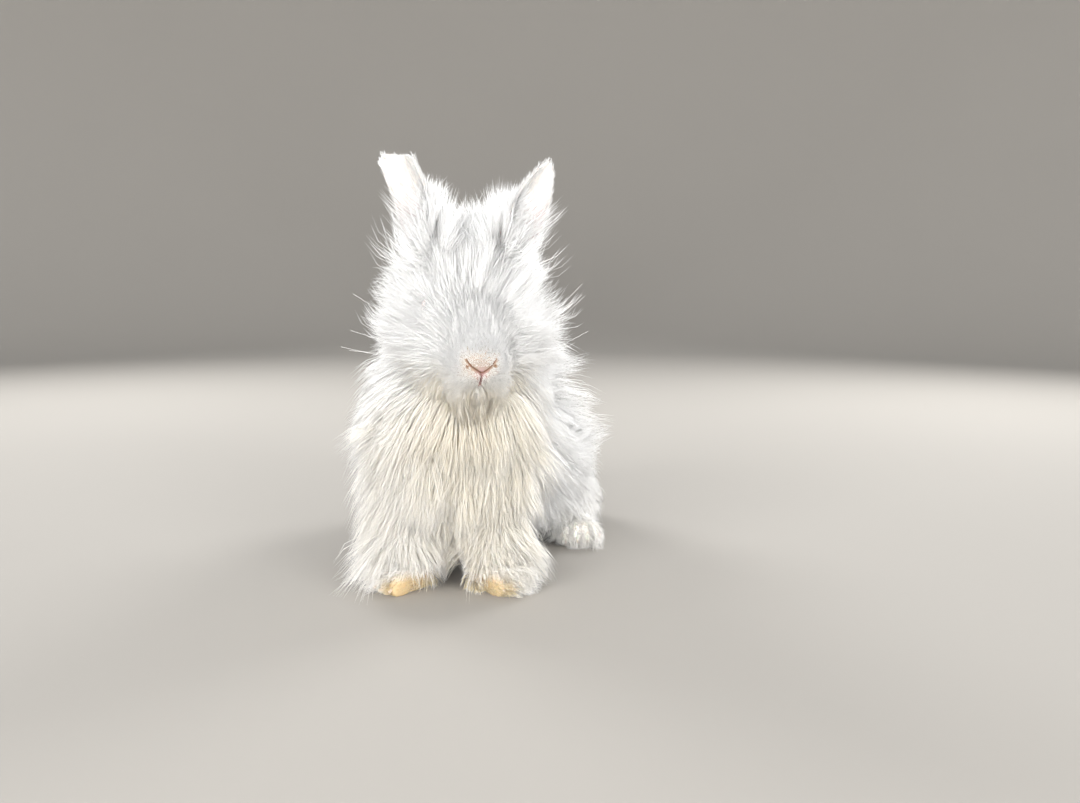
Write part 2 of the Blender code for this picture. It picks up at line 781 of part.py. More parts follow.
def hind_paw(side, grow=0.0):
    """A hind paw."""
    return paw_shapes(HIND_PAW[side], HIND_PAW_SPLAY[side], HIND_PAW_SIZE, 10, grow)


def eye_forms(level):
    """The eyes as forms for the coat to avoid."""
    return [(Form([blob(eye_centre(side), (EYE_RADIUS,) * 3)], soft=1), level) for side in SIDES]


def head_coat():
    """The wool of the cheeks, brow, crown, nape and beard."""
    ears = [
        (Form([blob(*ear_arc(side, t, half, spread)[:1], (5, 5, 5)) for t, half, spread in EAR_RINGS[1:4]], soft=1), 3.0)
        for side in SIDES
    ]
    below = [(neck_form(), CORE + 1), (torso_form(), CORE + 1)]
    coat = Coat(head_form(), 0.0, 21.0, 11, eye_forms(4.5) + ears + below, kind=SHORT_LOCK)

    def back_and_out(root, normal):
        return -FORWARD + (root - NOSE).normalized() * 0.2

    rows = ((24, 10, 15, 9, 2.2, 26), (33, 12, 22, 12, 2.6, 40), (43, 13, 28, 15, 3.0, 46), (52, 11, 28, 16, 3.2, 44))
    for i, (back, count, length, width, thickness, lift) in enumerate(rows):
        rays = fan(on_head(back, 5), FORWARD, UP, 0, count, offset=0.5 * (i % 2))
        coat.add(rays, back_and_out, length, width, thickness, lift, droop=0.12)
    for latitude, count, offset in ((14, 6, 0.0), (48, 4, 0.5)):
        rays = fan(on_head(56, 12), -FORWARD, UP, latitude, count, -100, 100, offset)
        coat.add(rays, lambda root, normal: (0, 0.6, -0.5), 26, 17, 3.0, 46, droop=0.0)
    return coat


def neck_coat():
    """The bib and the mane."""
    coat = Coat(neck_form(), CORE, COAT_DEPTH + 12, 12, [(head_form(), 1.0), (torso_form(), CORE + 2.5)])

    def lie(root, normal):
        """Down in front, back and down behind."""
        behind = min(1.0, max(0.0, (root.y + 60) / 30))
        return DOWN * (1 - 0.5 * behind) + normal * 0.2 + Vector((0, 0.2 + 0.9 * behind, 0))

    coat.add(fan((-9, -50, 76), (0, 0, 1), (0, -1, 0), 0, 5, -65, 65), lie, 40, 22, 3.6, 24)
    coat.add(fan((-9, -50, 96), (0, 0, 1), (0, -1, 0), 0, 8, -135, 135), lie, 42, 22, 3.6, 30)
    coat.add(fan((-9, -40, 100), (0, 0, 1), (0, 1, 0), 22, 5, -80, 80), lie, 40, 23, 3.6, 28)
    coat.add(fan((-9, -44, 104), (0, 0, 1), (0, 1, 0), 48, 3, -60, 60), lie, 34, 20, 3.6, 24)
    return coat


def torso_lie(root, normal):
    """Down on the chest, back and down on the flanks, back on the spine and down on the rump."""
    chest = 1 - min(1.0, max(0.0, (root.y + 62) / 34))
    rump = min(1.0, max(0.0, (root.y - 40) / 40))
    flank = Vector((0, 0.8, -0.55))
    return flank * (1 - chest) * (1 - rump) + Vector((0.3 * normal.x, -0.05, -1)) * chest + Vector((0, 0.3, -1)) * rump


def torso_coat():
    """The long wool of the chest, flanks, back, belly and rump."""
    haunches = [(hind_leg_form(side), HAUNCH_COAT_DEPTH * CORE_SHARE + 3) for side in SIDES]
    avoid = [(head_form(), 1.5), (tail_form(), 8.0), (neck_form(), CORE + 2)]
    avoid += [(fore_leg_form(side), LEG_COAT_DEPTH * CORE_SHARE + 2) for side in SIDES]
    coat = Coat(torso_form(), CORE, COAT_DEPTH + 12, 13, avoid + haunches, [(neck_form(), CORE + 3), (tail_form(), 13.0)])
    for latitude, count, offset, tips in ((-80, 3, 0.0, 12), (-54, 7, 0.5, 12), (-22, 9, 0.0, 3)):
        coat.tips = COAT_DEPTH + tips
        rays = fan((-13, -56, 58), (0, 1, 0), (0, 0, 1), latitude, count, offset=offset)
        coat.add(rays, torso_lie, 37, 21, 3.6, 25)
    coat.tips = COAT_DEPTH + 1
    for i in range(5):
        t = (i + 0.4) / 5
        origin = (-13 + 13 * t, -56 + 112 * t, 60)
        turn = 6 * (1 if i % 2 else -1)
        coat.add(fan(origin, (0, 1, 0), (0, 0, 1), 0, 9, -135 + turn, 135 + turn), torso_lie, 45, 25, 4.0, 27)
    for latitude, count, offset in ((16, 9, 0.5), (52, 7, 0.0)):
        rays = fan((0, 58, 58), (0, 1, 0), (0, 0, 1), latitude, count, offset=offset)
        coat.add(rays, torso_lie, 36, 23, 4.0, 24)
    return coat


def hind_coat(side):
    """The wool of a haunch."""
    sign = 1 if side == "left" else -1
    paw = (paw_form(HIND_PAW[side], HIND_PAW_SPLAY[side], *HIND_PAW_SIZE), 2.0)
    avoid = [paw, (torso_form(), CORE + 2)]
    coat = Coat(hind_leg_form(side), HAUNCH_COAT_DEPTH * CORE_SHARE, HAUNCH_COAT_DEPTH + 1, 14 if sign > 0 else 15, avoid)
    for i, (y, count) in enumerate(((58, 5), (36, 5), (14, 5))):
        start, stop = (15, 150) if sign > 0 else (345, 210)
        rays = fan((2 + 30 * sign, y, 34), (0, 1, 0), (0, 0, 1), 0, count, start, stop, 0.25 * (1 if i % 2 else -1))
        coat.add(rays, lambda root, normal: (0, 0.8, -0.45), 35, 20, 3.4, 20)
    return coat


def fore_coat(side):
    """The cuff of a fore leg."""
    wrist, shoulder = fore_leg_ends(side)
    paw = (paw_form(FORE_PAW[side], FORE_PAW_SPLAY[side], *FORE_PAW_SIZE), 2.0)
    covered = [(torso_form(), CORE + 1), (neck_form(), CORE + 1)]
    coat = Coat(fore_leg_form(side), LEG_COAT_DEPTH * CORE_SHARE, LEG_COAT_DEPTH + 3, 16 if side == "left" else 17, [paw], covered, SHORT_LOCK)
    for i, (share, count, length) in enumerate(((0.02, 8, 14), (0.3, 7, 22), (0.62, 6, 28))):
        origin = wrist.lerp(shoulder, share)
        rays = fan(origin, (0, 0, 1), (0, 1, 0), 0, count, offset=0.5 * (i % 2))
        coat.add(rays, lambda root, normal: DOWN + normal * 0.1, length, 14, 2.8, 28, droop=0.1)
    return coat


def tail_coat():
    """The fluff of the tail."""
    coat = Coat(tail_form(), 5.0, 14.0, 18, [(torso_form(), CORE + 2)], kind=SHORT_LOCK)
    for latitude, count in ((0, 5), (50, 3)):
        rays = fan(TAIL_ROOT + Vector((0, 8, 2)), (0, 1, 0.2), (0, 0, 1), latitude, count)
        coat.add(rays, lambda root, normal: (0, 1, 0.1), 15, 12, 2.6, 26, droop=0.1)
    return coat


def build():
    """Every node of the rabbit."""
    clear_scene()
    for side in SIDES:
        wool = ear_wool(side)
        node(f"eye_{side}", eye_shapes(side), EYE)
        node(f"ear_{side}", ear_shapes(side) + [lock_shape(*each) for each in wool], EAR_FUR)
        node(f"fore_foot_{side}", fore_paw(side), PAW_FUR)
        node(f"hind_foot_{side}", hind_paw(side), WOOL)
    eyes = [shape for side in SIDES for shape in eye_shapes(side, GAP)]
    ears = [shape for side in SIDES for shape in ear_shapes(side, GAP)]
    ears += [lock_shape(*each, GAP) for side in SIDES for each in ear_wool(side)]
    lids = [shape for side in SIDES for shape in lid_shapes(side)]
    openings = [shape for side in SIDES for shape in almond(side)]
    coats = {"head": head_coat(), "neck": neck_coat(), "torso": torso_coat(), "tail": tail_coat()}
    hind = {side: hind_coat(side) for side in SIDES}
    fore = {side: fore_coat(side) for side in SIDES}
    fat_head = head_core(GAP) + coats["head"].shapes(GAP)
    fat_neck = neck_core(GAP) + coats["neck"].shapes(GAP)
    fat_tail = tail_core(GAP) + coats["tail"].shapes(GAP)
    fat_torso = torso_core(GAP) + coats["torso"].shapes(GAP)
    fat_hind = {side: hind_core(side, GAP) + hind[side].shapes(GAP) for side in SIDES}
    paws = [shape for side in SIDES for shape in hind_paw(side, GAP) + fore_paw(side, GAP)]

    node("head", head_core() + lids + coats["head"].shapes(), WOOL, (eyes, ears, openings, face_cutters()))
    node("tail", tail_core() + coats["tail"].shapes(), WOOL)
    for side in SIDES:
        node(f"hind_leg_{side}", hind_core(side) + hind[side].shapes(), WOOL, (hind_paw(side, GAP), fat_tail))
    node("neck", neck_core() + coats["neck"].shapes(), WOOL, (fat_head,))
    around = (fat_head, fat_neck, fat_hind["right"], fat_hind["left"], fat_tail, paws)
    node("torso", torso_core() + coats["torso"].shapes(), WOOL, around)
    for side in SIDES:
        other = fore_core("left", GAP) + fore["left"].shapes(GAP) if side == "right" else []
        shapes = fore_core(side) + fore[side].shapes()
        node(f"fore_leg_{side}", shapes, WOOL, (fat_torso, fat_neck, fat_head, fore_paw(side, GAP), other))


build()
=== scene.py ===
"""A young white English Angora rabbit as a life-size museum model, dressed for close viewing.

The flesh is a smooth blend of ellipsoids in millimetres, turned into one skin. The wool is closed
three-sided strands rooted all over that skin, gathered in soft locks and combed along the lie of the coat.
The rabbit faces -Y, its left side is +X, and it stands on the floor at Z = 0.
"""

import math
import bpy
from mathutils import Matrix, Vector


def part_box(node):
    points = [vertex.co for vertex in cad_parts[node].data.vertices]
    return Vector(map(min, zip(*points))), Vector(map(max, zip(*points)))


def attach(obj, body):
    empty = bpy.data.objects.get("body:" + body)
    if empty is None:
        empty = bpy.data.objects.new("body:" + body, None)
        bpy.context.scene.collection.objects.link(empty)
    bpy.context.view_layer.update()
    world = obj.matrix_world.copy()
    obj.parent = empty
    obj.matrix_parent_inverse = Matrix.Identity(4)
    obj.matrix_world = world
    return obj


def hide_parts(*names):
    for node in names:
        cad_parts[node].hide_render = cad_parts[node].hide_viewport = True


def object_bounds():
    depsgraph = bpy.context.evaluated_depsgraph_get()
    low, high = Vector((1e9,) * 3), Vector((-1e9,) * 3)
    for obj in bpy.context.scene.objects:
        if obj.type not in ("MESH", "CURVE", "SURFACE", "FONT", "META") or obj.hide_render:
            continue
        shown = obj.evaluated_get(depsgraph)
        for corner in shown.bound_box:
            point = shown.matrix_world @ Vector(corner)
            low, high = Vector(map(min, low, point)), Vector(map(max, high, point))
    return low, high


bl_info = {
    "name": "Angora Rabbit",
    "version": (1, 0, 0),
    "blender": (4, 5, 0),
    "location": "View3D > Sidebar > Rabbit",
    "description": "Builds a white angora rabbit: skin, eyes, claws, whiskers and wool",
    "category": "Add Mesh",
}

import bmesh
import bpy
import numpy as np
from bpy.props import FloatProperty, FloatVectorProperty, IntProperty, PointerProperty
from mathutils import Vector
from mathutils.bvhtree import BVHTree
from mathutils.kdtree import KDTree

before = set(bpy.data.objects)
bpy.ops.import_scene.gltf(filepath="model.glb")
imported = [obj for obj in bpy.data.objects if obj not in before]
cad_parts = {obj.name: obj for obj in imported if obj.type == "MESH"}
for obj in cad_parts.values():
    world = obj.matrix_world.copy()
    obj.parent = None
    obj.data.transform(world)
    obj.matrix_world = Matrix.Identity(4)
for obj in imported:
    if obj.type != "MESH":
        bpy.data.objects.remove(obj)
CAD_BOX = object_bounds()

MM = 0.001
SIDES = ("right", "left")
SIGN = {"right": -1.0, "left": 1.0}
DOWN = np.array((0.0, 0.0, -1.0))
FLESH_NODES = [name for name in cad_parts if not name.startswith("eye_")]

# Head: nose tip, turn towards the rabbit's left and nod, then the eyes along the head's own axes
NOSE = np.array((1.0, -104.0, 105.0))
HEAD_TURN = math.radians(13)
HEAD_NOD = math.radians(23)
EYE_LOOK = (0.42, 0.16)  # how far an eye looks forward and up for each step to the side
EYE_CENTRE = {side: np.array(sum(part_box(f"eye_{side}"), Vector())) / 2 / MM for side in SIDES}
EYE_RADIUS = 6.7
LID_RADIUS = 7.7
LID_OPENING = (5.0, 4.4)  # half of its length and height
EYE_FLOOR = 5.2  # the socket's radius behind the eyeball

# Ears: root on the head (back, up, side), tip, and the way the cup opens
EAR_ROOT = {"right": (50.0, 20.0, -11.0), "left": (50.0, 20.0, 11.0)}
EAR_TIP = {"right": (-39.0, -54.0, 204.0), "left": (31.5, -54.0, 200.0)}
EAR_SKEW = {"right": 1.5, "left": 0.5}  # how far the tip leans outwards
EAR_SLANT = {"right": 4.3, "left": 0.0}  # how far the top's outer corner is drawn up
EAR_OPENING = {"right": (-0.62, -0.78, 0.0), "left": (0.70, -0.70, 0.1)}
EAR_SINK = 7.0
EAR_BOW = 2.5
EAR_SKIN = 1.5
EAR_SHARES = (0.0, 0.12, 0.24, 0.38, 0.52, 0.66, 0.79, 0.9, 0.97, 1.0)
EAR_HALF_WIDTHS = {
    "right": (8.5, 9.5, 11.5, 12.8, 12.8, 12.2, 11.8, 11.4, 10.6, 8.0),
    "left": (8.5, 9.5, 11.5, 12.8, 13.0, 11.8, 9.4, 6.0, 3.2, 0.9),
}
EAR_HALF_ROLLS = (2.5, 2.3, 1.9, 1.45, 1.15, 0.95, 0.8, 0.7, 0.6, 0.5)

# Feet: where each stands, how far it turns out, and its length, width and height
FORE_PAW = {"right": (-37.0, -83.0), "left": (6.0, -83.0)}
FORE_SPLAY = {"right": math.radians(-48), "left": math.radians(48)}
FORE_SIZE = (30.0, 17.0, 13.0)
HIND_PAW = {"right": (-42.0, 27.0), "left": (45.0, 27.0)}
HIND_SPLAY = {"right": math.radians(-6), "left": math.radians(8)}
HIND_SIZE = (70.0, 20.0, 14.0)
TAIL_ROOT = np.array((2.0, 74.0, 46.0))

# Face: lines in the plane across the head, as (side, up) from the nose tip; the first two are mirrored
NOSTRIL_LINE = ((0.0, 0.0), (2.4, 1.7), (4.8, 3.2), (6.6, 5.2))
MOUTH_LINE = ((0.0, -6.4), (1.8, -7.8), (3.6, -9.8))
CLEFT_LINE = ((0.0, 0.4), (0.0, -6.4))
NOSTRIL_PIT = (6.2, 2.6)
LIP_PAD = (2.9, -2.6)
PAD_CENTRE, PAD_RADII = (0.0, 3.4), (4.4, 3.4)
CHIN = (14.0, -16.0, 0.0)
FACE_DEPTH = 16.0  # the face's lines are cut this far back from the nose


def linear(hex_colour):
    """The linear colour of an sRGB hex value."""
    values = [int(hex_colour[i : i + 2], 16) / 255 for i in (1, 3, 5)]
    return tuple(v / 12.92 if v <= 0.04045 else ((v + 0.055) / 1.055) ** 2.4 for v in values)


def colour_property(name, hex_colour, description):
    """A colour setting with its default."""
    return FloatVectorProperty(
        name=name, description=description, subtype="COLOR", size=3, min=0, max=1, default=linear(hex_colour)
    )


def power_property(name, default, description):
    """The power of a light, with its default."""
    return FloatProperty(name=name, description=description, default=default, min=0, subtype="POWER")


class RabbitColours(bpy.types.PropertyGroup):
    """The colours of the rabbit."""

    wool: colour_property("Wool", "#FAF9F7", "Clean wool of the head, back and flanks")
    cream: colour_property("Cream wool", "#F3E9D3", "Warmer wool of the beard, chest and belly")
    # This stain colour is also laid down the parting between the fore legs as painted shade, and under the
    # chin.
    stain_and_painted_shade: colour_property("Foot stain", "#B89A5C", "Hay stain on the inner side of the fore feet")
    # Painted shade: this dark hide colour fills the short-furred parts, partly hide showing through and
    # partly standing in for the shade that long wool casts on itself.
    hide: colour_property("Hide", "#9C8E80", "Downy hide under the wool")
    ear: colour_property("Inner ear", "#A87C7C", "Thin hide inside the ears")
    nose: colour_property("Nose", "#877A6E", "Bare pad of the nose")
    # Painted shade: this dark colour lines the nostril slits, the nostril pits and the seams of the mouth
    # and cleft, where shade falls in the cuts.
    lip: colour_property("Lips", "#8F7170", "Cleft and lips")
    line: colour_property("Nostril line", "#5E3C26", "Folds of the nostrils and mouth")
    iris: colour_property("Iris", "#5F7387", "Blue-grey iris")
    claw: colour_property("Claw", "#C9B6A4", "Pale horn of the claws")


class RabbitWool(bpy.types.PropertyGroup):
    """The sizes of the wool."""

    length: FloatProperty(
        name="Length", description="Length of all wool, as a share", default=1.0, min=0.2, max=2
    )
    width: FloatProperty(
        name="Strand width", description="Width at the root", default=0.00034, min=0.0001, unit="LENGTH"
    )
    gather: FloatProperty(
        name="Gather", description="How far strands join", default=0.34, min=0, max=1, subtype="FACTOR"
    )
    curl: FloatProperty(
        name="Wave", description="Sideways wave of a strand", default=0.0015, min=0, max=0.01, unit="LENGTH"
    )
    seed: IntProperty(name="Seed", description="Seed of all chance in the wool", default=7)


class RabbitSkin(bpy.types.PropertyGroup):
    """The sizes of the skin and of what is set in it."""

    voxel: FloatProperty(
        name="Skin cell", description="Size of the skin's faces", default=0.0013, min=0.0006, unit="LENGTH"
    )
    whisker: FloatProperty(
        name="Whisker", description="Length of the longest whisker", default=0.042, unit="LENGTH"
    )
    claw: FloatProperty(name="Claw", description="Length of a claw", default=0.0032, unit="LENGTH")


class RabbitStage(bpy.types.PropertyGroup):
    """The floor, the light and the camera."""

    floor: colour_property("Floor", "#98948E", "Pale matt floor that sweeps up all round")
    key: power_property("Key light", 30.0, "Power of the large soft key light")
    fill: power_property("Fill light", 32.0, "Power of the fill light")
    front: power_property("Front light", 74.0, "Power of the low front light")
    rim: power_property("Rim light", 9.0, "Power of the lights behind")
    sky: FloatProperty(name="Sky", description="Strength of the even light all round", default=0.7, min=0)
    lens: FloatProperty(name="Lens", description="Focal length on a 36 mm frame", default=36.67, min=1)


def unit(vectors):
    """The vectors at length 1."""
    vectors = np.asarray(vectors, float)
    return vectors / np.maximum(np.linalg.norm(vectors, axis=-1, keepdims=True), 1e-9)


def dot(a, b):
    """The dot product of each pair of vectors."""
    return (a * b).sum(axis=-1)


def smoothstep(value, low, high):
    """0 at low, 1 at high and smooth in between."""
    share = np.clip((value - low) / (high - low), 0, 1)
    return share * share * (3 - 2 * share)


def head_axes():
    """The head's forward, up and left-hand directions."""
    level = np.array((math.sin(HEAD_TURN), -math.cos(HEAD_TURN), 0.0))
    forward = level * math.cos(HEAD_NOD) + DOWN * math.sin(HEAD_NOD)
    left = np.array((math.cos(HEAD_TURN), math.sin(HEAD_TURN), 0.0))
    return forward, np.cross(forward, left), left


FORWARD, UP, LEFT = head_axes()


def on_head(back, up, side=0.0):
    """A point of the head, measured back from the nose tip, up and to the rabbit's left."""
    return NOSE - FORWARD * back + UP * up + LEFT * side


def head_places(points):
    """(back, up, side) of points, on the head's own axes."""
    from_nose = points - NOSE
    return -from_nose @ FORWARD, from_nose @ UP, from_nose @ LEFT


class Form:
    """A smooth blend of ellipsoids, each (centre, radii, axes as columns)."""

    def __init__(self, blobs, soft):
        self.blobs = blobs
        self.soft = soft
        self.radii = np.array([radii for _, radii, _ in blobs], float).reshape(-1)
        self.axes = np.concatenate([axes for _, _, axes in blobs], axis=1)
        self.offset = np.concatenate([centre @ axes for centre, _, axes in blobs])

    def measure(self, points):
        """The depth outside the surface, negative inside, and the way out at each point."""
        count = len(self.blobs)
        local = (points @ self.axes - self.offset) / self.radii
        k0 = np.linalg.norm(local.reshape(-1, count, 3), axis=2)
        steep = (local / self.radii).reshape(-1, count, 3)
        k1 = np.maximum(np.linalg.norm(steep, axis=2), 1e-9)
        depth, share = soft_least(k0 * (k0 - 1) / k1, self.soft)
        weighted = steep * (share / k1)[:, :, None]
        return depth, unit(weighted.reshape(-1, 3 * count) @ self.axes.T)


def soft_least(values, soft):
    """The smooth least of each row, and each value's share in it."""
    least = values.min(axis=1, keepdims=True)
    share = np.exp((least - values) / soft)
    total = share.sum(axis=1, keepdims=True)
    return least[:, 0] - soft * np.log(total[:, 0]), share / total


def blob(centre, radii, forward=(0, -1, 0), up=(0, 0, 1)):
    """An ellipsoid whose radii run along side, forward and up."""
    ahead = unit(forward)
    side = unit(np.cross(ahead, up))
    axes = np.stack((side, ahead, np.cross(side, ahead)), axis=1)
    return np.array(centre, float), np.array(radii, float), axes


def head_blob(back, up, side, radii):
    """An ellipsoid on the head."""
    return blob(on_head(back, up, side), radii, FORWARD, UP)


def head_form():
    """The skull, cheeks, muzzle, whisker pads, nose, chin and brows."""
    blobs = [
        head_blob(42, 8, 0, (21, 24, 19)),
        head_blob(22, 5, 0, (12.5, 20, 14)),
        head_blob(4.2, 2.8, 0, (5.8, 4.8, 5.2)),
        head_blob(14, -10.5, 0, (6.5, 8, 4.5)),
    ]
    for sign in (-1, 1):
        blobs.append(head_blob(11, -2.5, 5.5 * sign, (8, 10, 8)))
        blobs.append(head_blob(34, -4, 8 * sign, (13.5, 17, 14.5)))
    return Form(blobs, 2.6)


def neck_form():
    """The short neck."""
    return Form([blob((-9, -58, 94), (20, 18, 26)), blob((-9, -38, 96), (22, 22, 22))], 5)


def torso_form():
    """The chest, shoulders, barrel, belly and rump."""
    return Form(
        [
            blob((-13, -52, 60), (26, 18, 32)),
            blob((-10, -30, 65), (32, 26, 33)),
            blob((-5, 5, 62), (36, 40, 36)),
            blob((-4, 10, 44), (32, 46, 27)),
            blob((0, 46, 58), (34, 35, 39)),
        ],
        5,
    )


def fore_leg_ends(side):
    """The wrist and the shoulder of a fore leg."""
    x, y = FORE_PAW[side]
    return np.array((x, y + 5, 13.0)), np.array((x * 0.75 - 3.5, -58.0, 60.0))


def fore_leg_form(side):
    """A fore leg from the wrist to the shoulder."""
    wrist, shoulder = fore_leg_ends(side)
    blobs = [
        blob(wrist + (0, 0, 5), (8, 8, 11)),
        blob((wrist + shoulder) / 2, (9, 9, 20)),
        blob(shoulder, (12, 12, 18)),
    ]
    return Form(blobs, 4)


def hind_leg_form(side):
    """A folded hind leg: thigh, knee and hock."""
    sign = SIGN[side]
    blobs = [
        blob((2 + 29 * sign, 40, 42), (13, 28, 28)),
        blob((2 + 32 * sign, 12, 36), (12, 18, 20)),
        blob((2 + 36 * sign, 48, 22), (9, 24, 12)),
    ]
    return Form(blobs, 4)


def tail_form():
    """The short upturned tail."""
    return Form([blob(TAIL_ROOT + (0, 8, 2), (8, 13, 9)), blob(TAIL_ROOT, (8, 10, 8))], 3)


def paw_axes(splay):
    """A paw's forward and left-hand directions on the floor."""
    ahead = np.array((math.sin(splay), -math.cos(splay), 0.0))
    return ahead, np.array((-ahead[1], ahead[0], 0.0))


def toes(place, splay, size):
    """The middle of each of the four toes and the way it points."""
    length, width, height = size
    ahead, side = paw_axes(splay)
    found = []
    for k in range(4):
        share = (k - 1.5) / 4
        reach = length * 0.5 - height * 0.5 - 0.9 * width * share * share
        centre = np.array((*place, height * 0.32)) + ahead * reach + side * width * share * 0.98
        found.append((centre, unit(ahead + side * share * 0.45)))
    return found


def paw_form(place, splay, size):
    """A furred paw: its sole with rounded toes at the front."""
    length, width, height = size
    ahead, _ = paw_axes(splay)
    middle = np.array((*place, 0.0))
    back = middle - ahead * length * 0.1 + (0, 0, height * 0.42)
    front = middle + ahead * (length * 0.5 - height * 0.95) + (0, 0, height * 0.4)
    blobs = [
        blob(back, (width * 0.46, length * 0.40, height * 0.6), ahead),
        blob(front, (width * 0.48, height * 0.7, height * 0.5), ahead),
    ]
    toe = (width * 0.165, height * 0.5, height * 0.42)
    blobs += [blob(centre, toe, way) for centre, way in toes(place, splay, size)]
    return Form(blobs, 0.7)


def paws():
    """Every paw as (place, splay, size)."""
    fore = [(FORE_PAW[side], FORE_SPLAY[side], FORE_SIZE) for side in SIDES]
    return fore + [(HIND_PAW[side], HIND_SPLAY[side], HIND_SIZE) for side in SIDES]


class Flesh:
    """The whole body as forms that flow into each other."""

    join = 1.6

    def __init__(self):
        forms = {"head": head_form(), "neck": neck_form(), "torso": torso_form(), "tail": tail_form()}
        for side in SIDES:
            forms[f"fore_leg_{side}"] = fore_leg_form(side)
            forms[f"hind_leg_{side}"] = hind_leg_form(side)
        for side, paw in zip(("fore_right", "fore_left", "hind_right", "hind_left"), paws()):
            forms[f"paw_{side}"] = paw_form(*paw)
        self.names = list(forms)
        self.forms = list(forms.values())

    def measure(self, points, each=False, step=40000):
        """The depth and the way out at each point; each=True gives the depth of every form instead."""
        found = [self.measure_some(points[i : i + step], each) for i in range(0, len(points), step)]
        return np.concatenate(found) if each else tuple(np.concatenate(part) for part in zip(*found))

    def measure_some(self, points, each):
        """As measure does, for a limited number of points."""
        parts = [form.measure(points) for form in self.forms]
        depths = np.stack([depth for depth, _ in parts], axis=1)
        if each:
            return depths
        depth, share = soft_least(depths, self.join)
        return depth, unit(sum(share[:, i, None] * way for i, (_, way) in enumerate(parts)))


def through(shares, values, at):
    """A smooth curve through the values at the shares, read at each place."""
    shares, values = np.array(shares), np.array(values)
    slopes = np.gradient(values, shares)
    k = np.clip(np.searchsorted(shares, at, side="right") - 1, 0, len(shares) - 2)
    gap = shares[k + 1] - shares[k]
    t = np.clip((at - shares[k]) / gap, 0, 1)
    start = (1 + 2 * t) * (1 - t) ** 2 * values[k] + t * (1 - t) ** 2 * gap * slopes[k]
    return start + t**2 * (3 - 2 * t) * values[k + 1] - t**2 * (1 - t) * gap * slopes[k + 1]


class Ear:
    """One cupped ear: rolled at its root and open towards its tip."""

    def __init__(self, side):
        root, tip = on_head(*EAR_ROOT[side]), np.array(EAR_TIP[side])
        self.side = side
        self.axis = unit(tip - root)
        self.root = root - self.axis * EAR_SINK
        self.length = np.linalg.norm(tip - self.root)
        opening = np.array(EAR_OPENING[side])
        self.opening = unit(opening - self.axis * (opening @ self.axis))
        self.across = np.cross(self.axis, self.opening)
        self.inward = 1.0 if self.across[0] * SIGN[side] < 0 else -1.0

    def arc(self, t):
        """The middle of the roll at shares of the length, its radius and half of its angle."""
        half = through(EAR_SHARES, EAR_HALF_WIDTHS[self.side], t)
        roll = through(EAR_SHARES, EAR_HALF_ROLLS, t)
        radius = half / roll
        bow = radius - EAR_BOW * np.sin(np.pi * t)
        lean = -self.inward * EAR_SKEW[self.side] * smoothstep(t, 0.6, 1.0)
        middle = self.root + np.outer(self.length * t, self.axis) + np.outer(lean, self.across)
        return middle + bow[:, None] * self.opening, radius, roll

    def shell(self, rows=64, columns=36):
        """The ear as a closed mesh: its outer and inner faces, with a soft rim."""
        t = np.linspace(0, 1, rows) ** 0.9
        centre, radius, roll = self.arc(t)
        share = np.linspace(-1, 1, columns)
        angle = roll[:, None] * share
        ray = np.sin(angle)[..., None] * self.across - np.cos(angle)[..., None] * self.opening
        skin = EAR_SKIN / 2 * (1 - 0.45 * np.abs(share) ** 8) * (1 - 0.35 * t[:, None] ** 3)
        fold = 0.5 * np.exp(-(((np.abs(share) - 0.86) / 0.1) ** 2))
        slant = -self.inward * EAR_SLANT[self.side] * share[None, :] * smoothstep(t, 0.5, 1.0)[:, None]
        base = centre[:, None] + slant[..., None] * self.axis
        outer = base + ray * (radius[:, None] + skin + fold)[..., None]
        inner = base + ray * (radius[:, None] - skin + fold)[..., None]
        around = np.concatenate((outer, inner[:, ::-1]), axis=1)
        n = around.shape[1]
        faces = []
        for i in range(rows - 1):
            for k in range(n):
                a, b = i * n + k, i * n + (k + 1) % n
                faces.append((a, b, b + n, a + n))
        for start in (0, (rows - 1) * n):
            last = start + n - 1
            faces += [(start + k, start + k + 1, last - 1 - k, last - k) for k in range(columns - 1)]
        return around.reshape(-1, 3), faces

    def places(self, points):
        """(share of the length, share of the roll from -1 to 1, distance outside the middle of the skin)."""
        t = np.clip((points - self.root) @ self.axis / self.length, 0, 1)
        centre, radius, roll = self.arc(t)
        ray = points - centre
        x, y = ray @ self.across, -(ray @ self.opening)
        return t, np.arctan2(x, y) / roll, np.hypot(x, y) - radius


def piece_from(name, verts, faces):
    """A mesh object in metres, from points in millimetres."""
    mesh = bpy.data.meshes.new(name)
    mesh.from_pydata((np.asarray(verts) * MM).tolist(), [], faces)
    mesh.update()
    made = bpy.data.objects.new(name, mesh)
    bpy.context.scene.collection.objects.link(made)
    return made


def evaluated(made):
    """Applies the object's modifiers."""
    graph = bpy.context.evaluated_depsgraph_get()
    mesh = bpy.data.meshes.new_from_object(made.evaluated_get(graph))
    made.modifiers.clear()
    made.data = mesh
    return made


def points_of(mesh):
    """The vertices of a mesh, in millimetres."""
    points = np.zeros(len(mesh.vertices) * 3, np.float32)
    mesh.vertices.foreach_get("co", points)
    return points.reshape(-1, 3).astype(float) / MM


def place_points(mesh, points):
    """Moves the vertices of a mesh."""
    mesh.vertices.foreach_set("co", (points * MM).astype(np.float32).ravel())
    mesh.update()


def smooth(mesh):
    """Shades all faces of a mesh smoothly."""
    mesh.polygons.foreach_set("use_smooth", np.ones(len(mesh.polygons), bool))


def store(mesh, name, values):
    """Keeps one number for each vertex."""
    layer = mesh.attributes.new(name, "FLOAT", "POINT")
    layer.data.foreach_set("value", np.asarray(values, np.float32))


def from_line(points, line):
    """The distance of 2D points from a line of straight runs."""
    nearest = np.full(len(points), np.inf)
    for start, end in zip(line, line[1:]):
        start, run = np.array(start), np.array(end) - np.array(start)
        share = np.clip((points - start) @ run / (run @ run), 0, 1)
        nearest = np.minimum(nearest, np.linalg.norm(points - start - share[:, None] * run, axis=1))
    return nearest


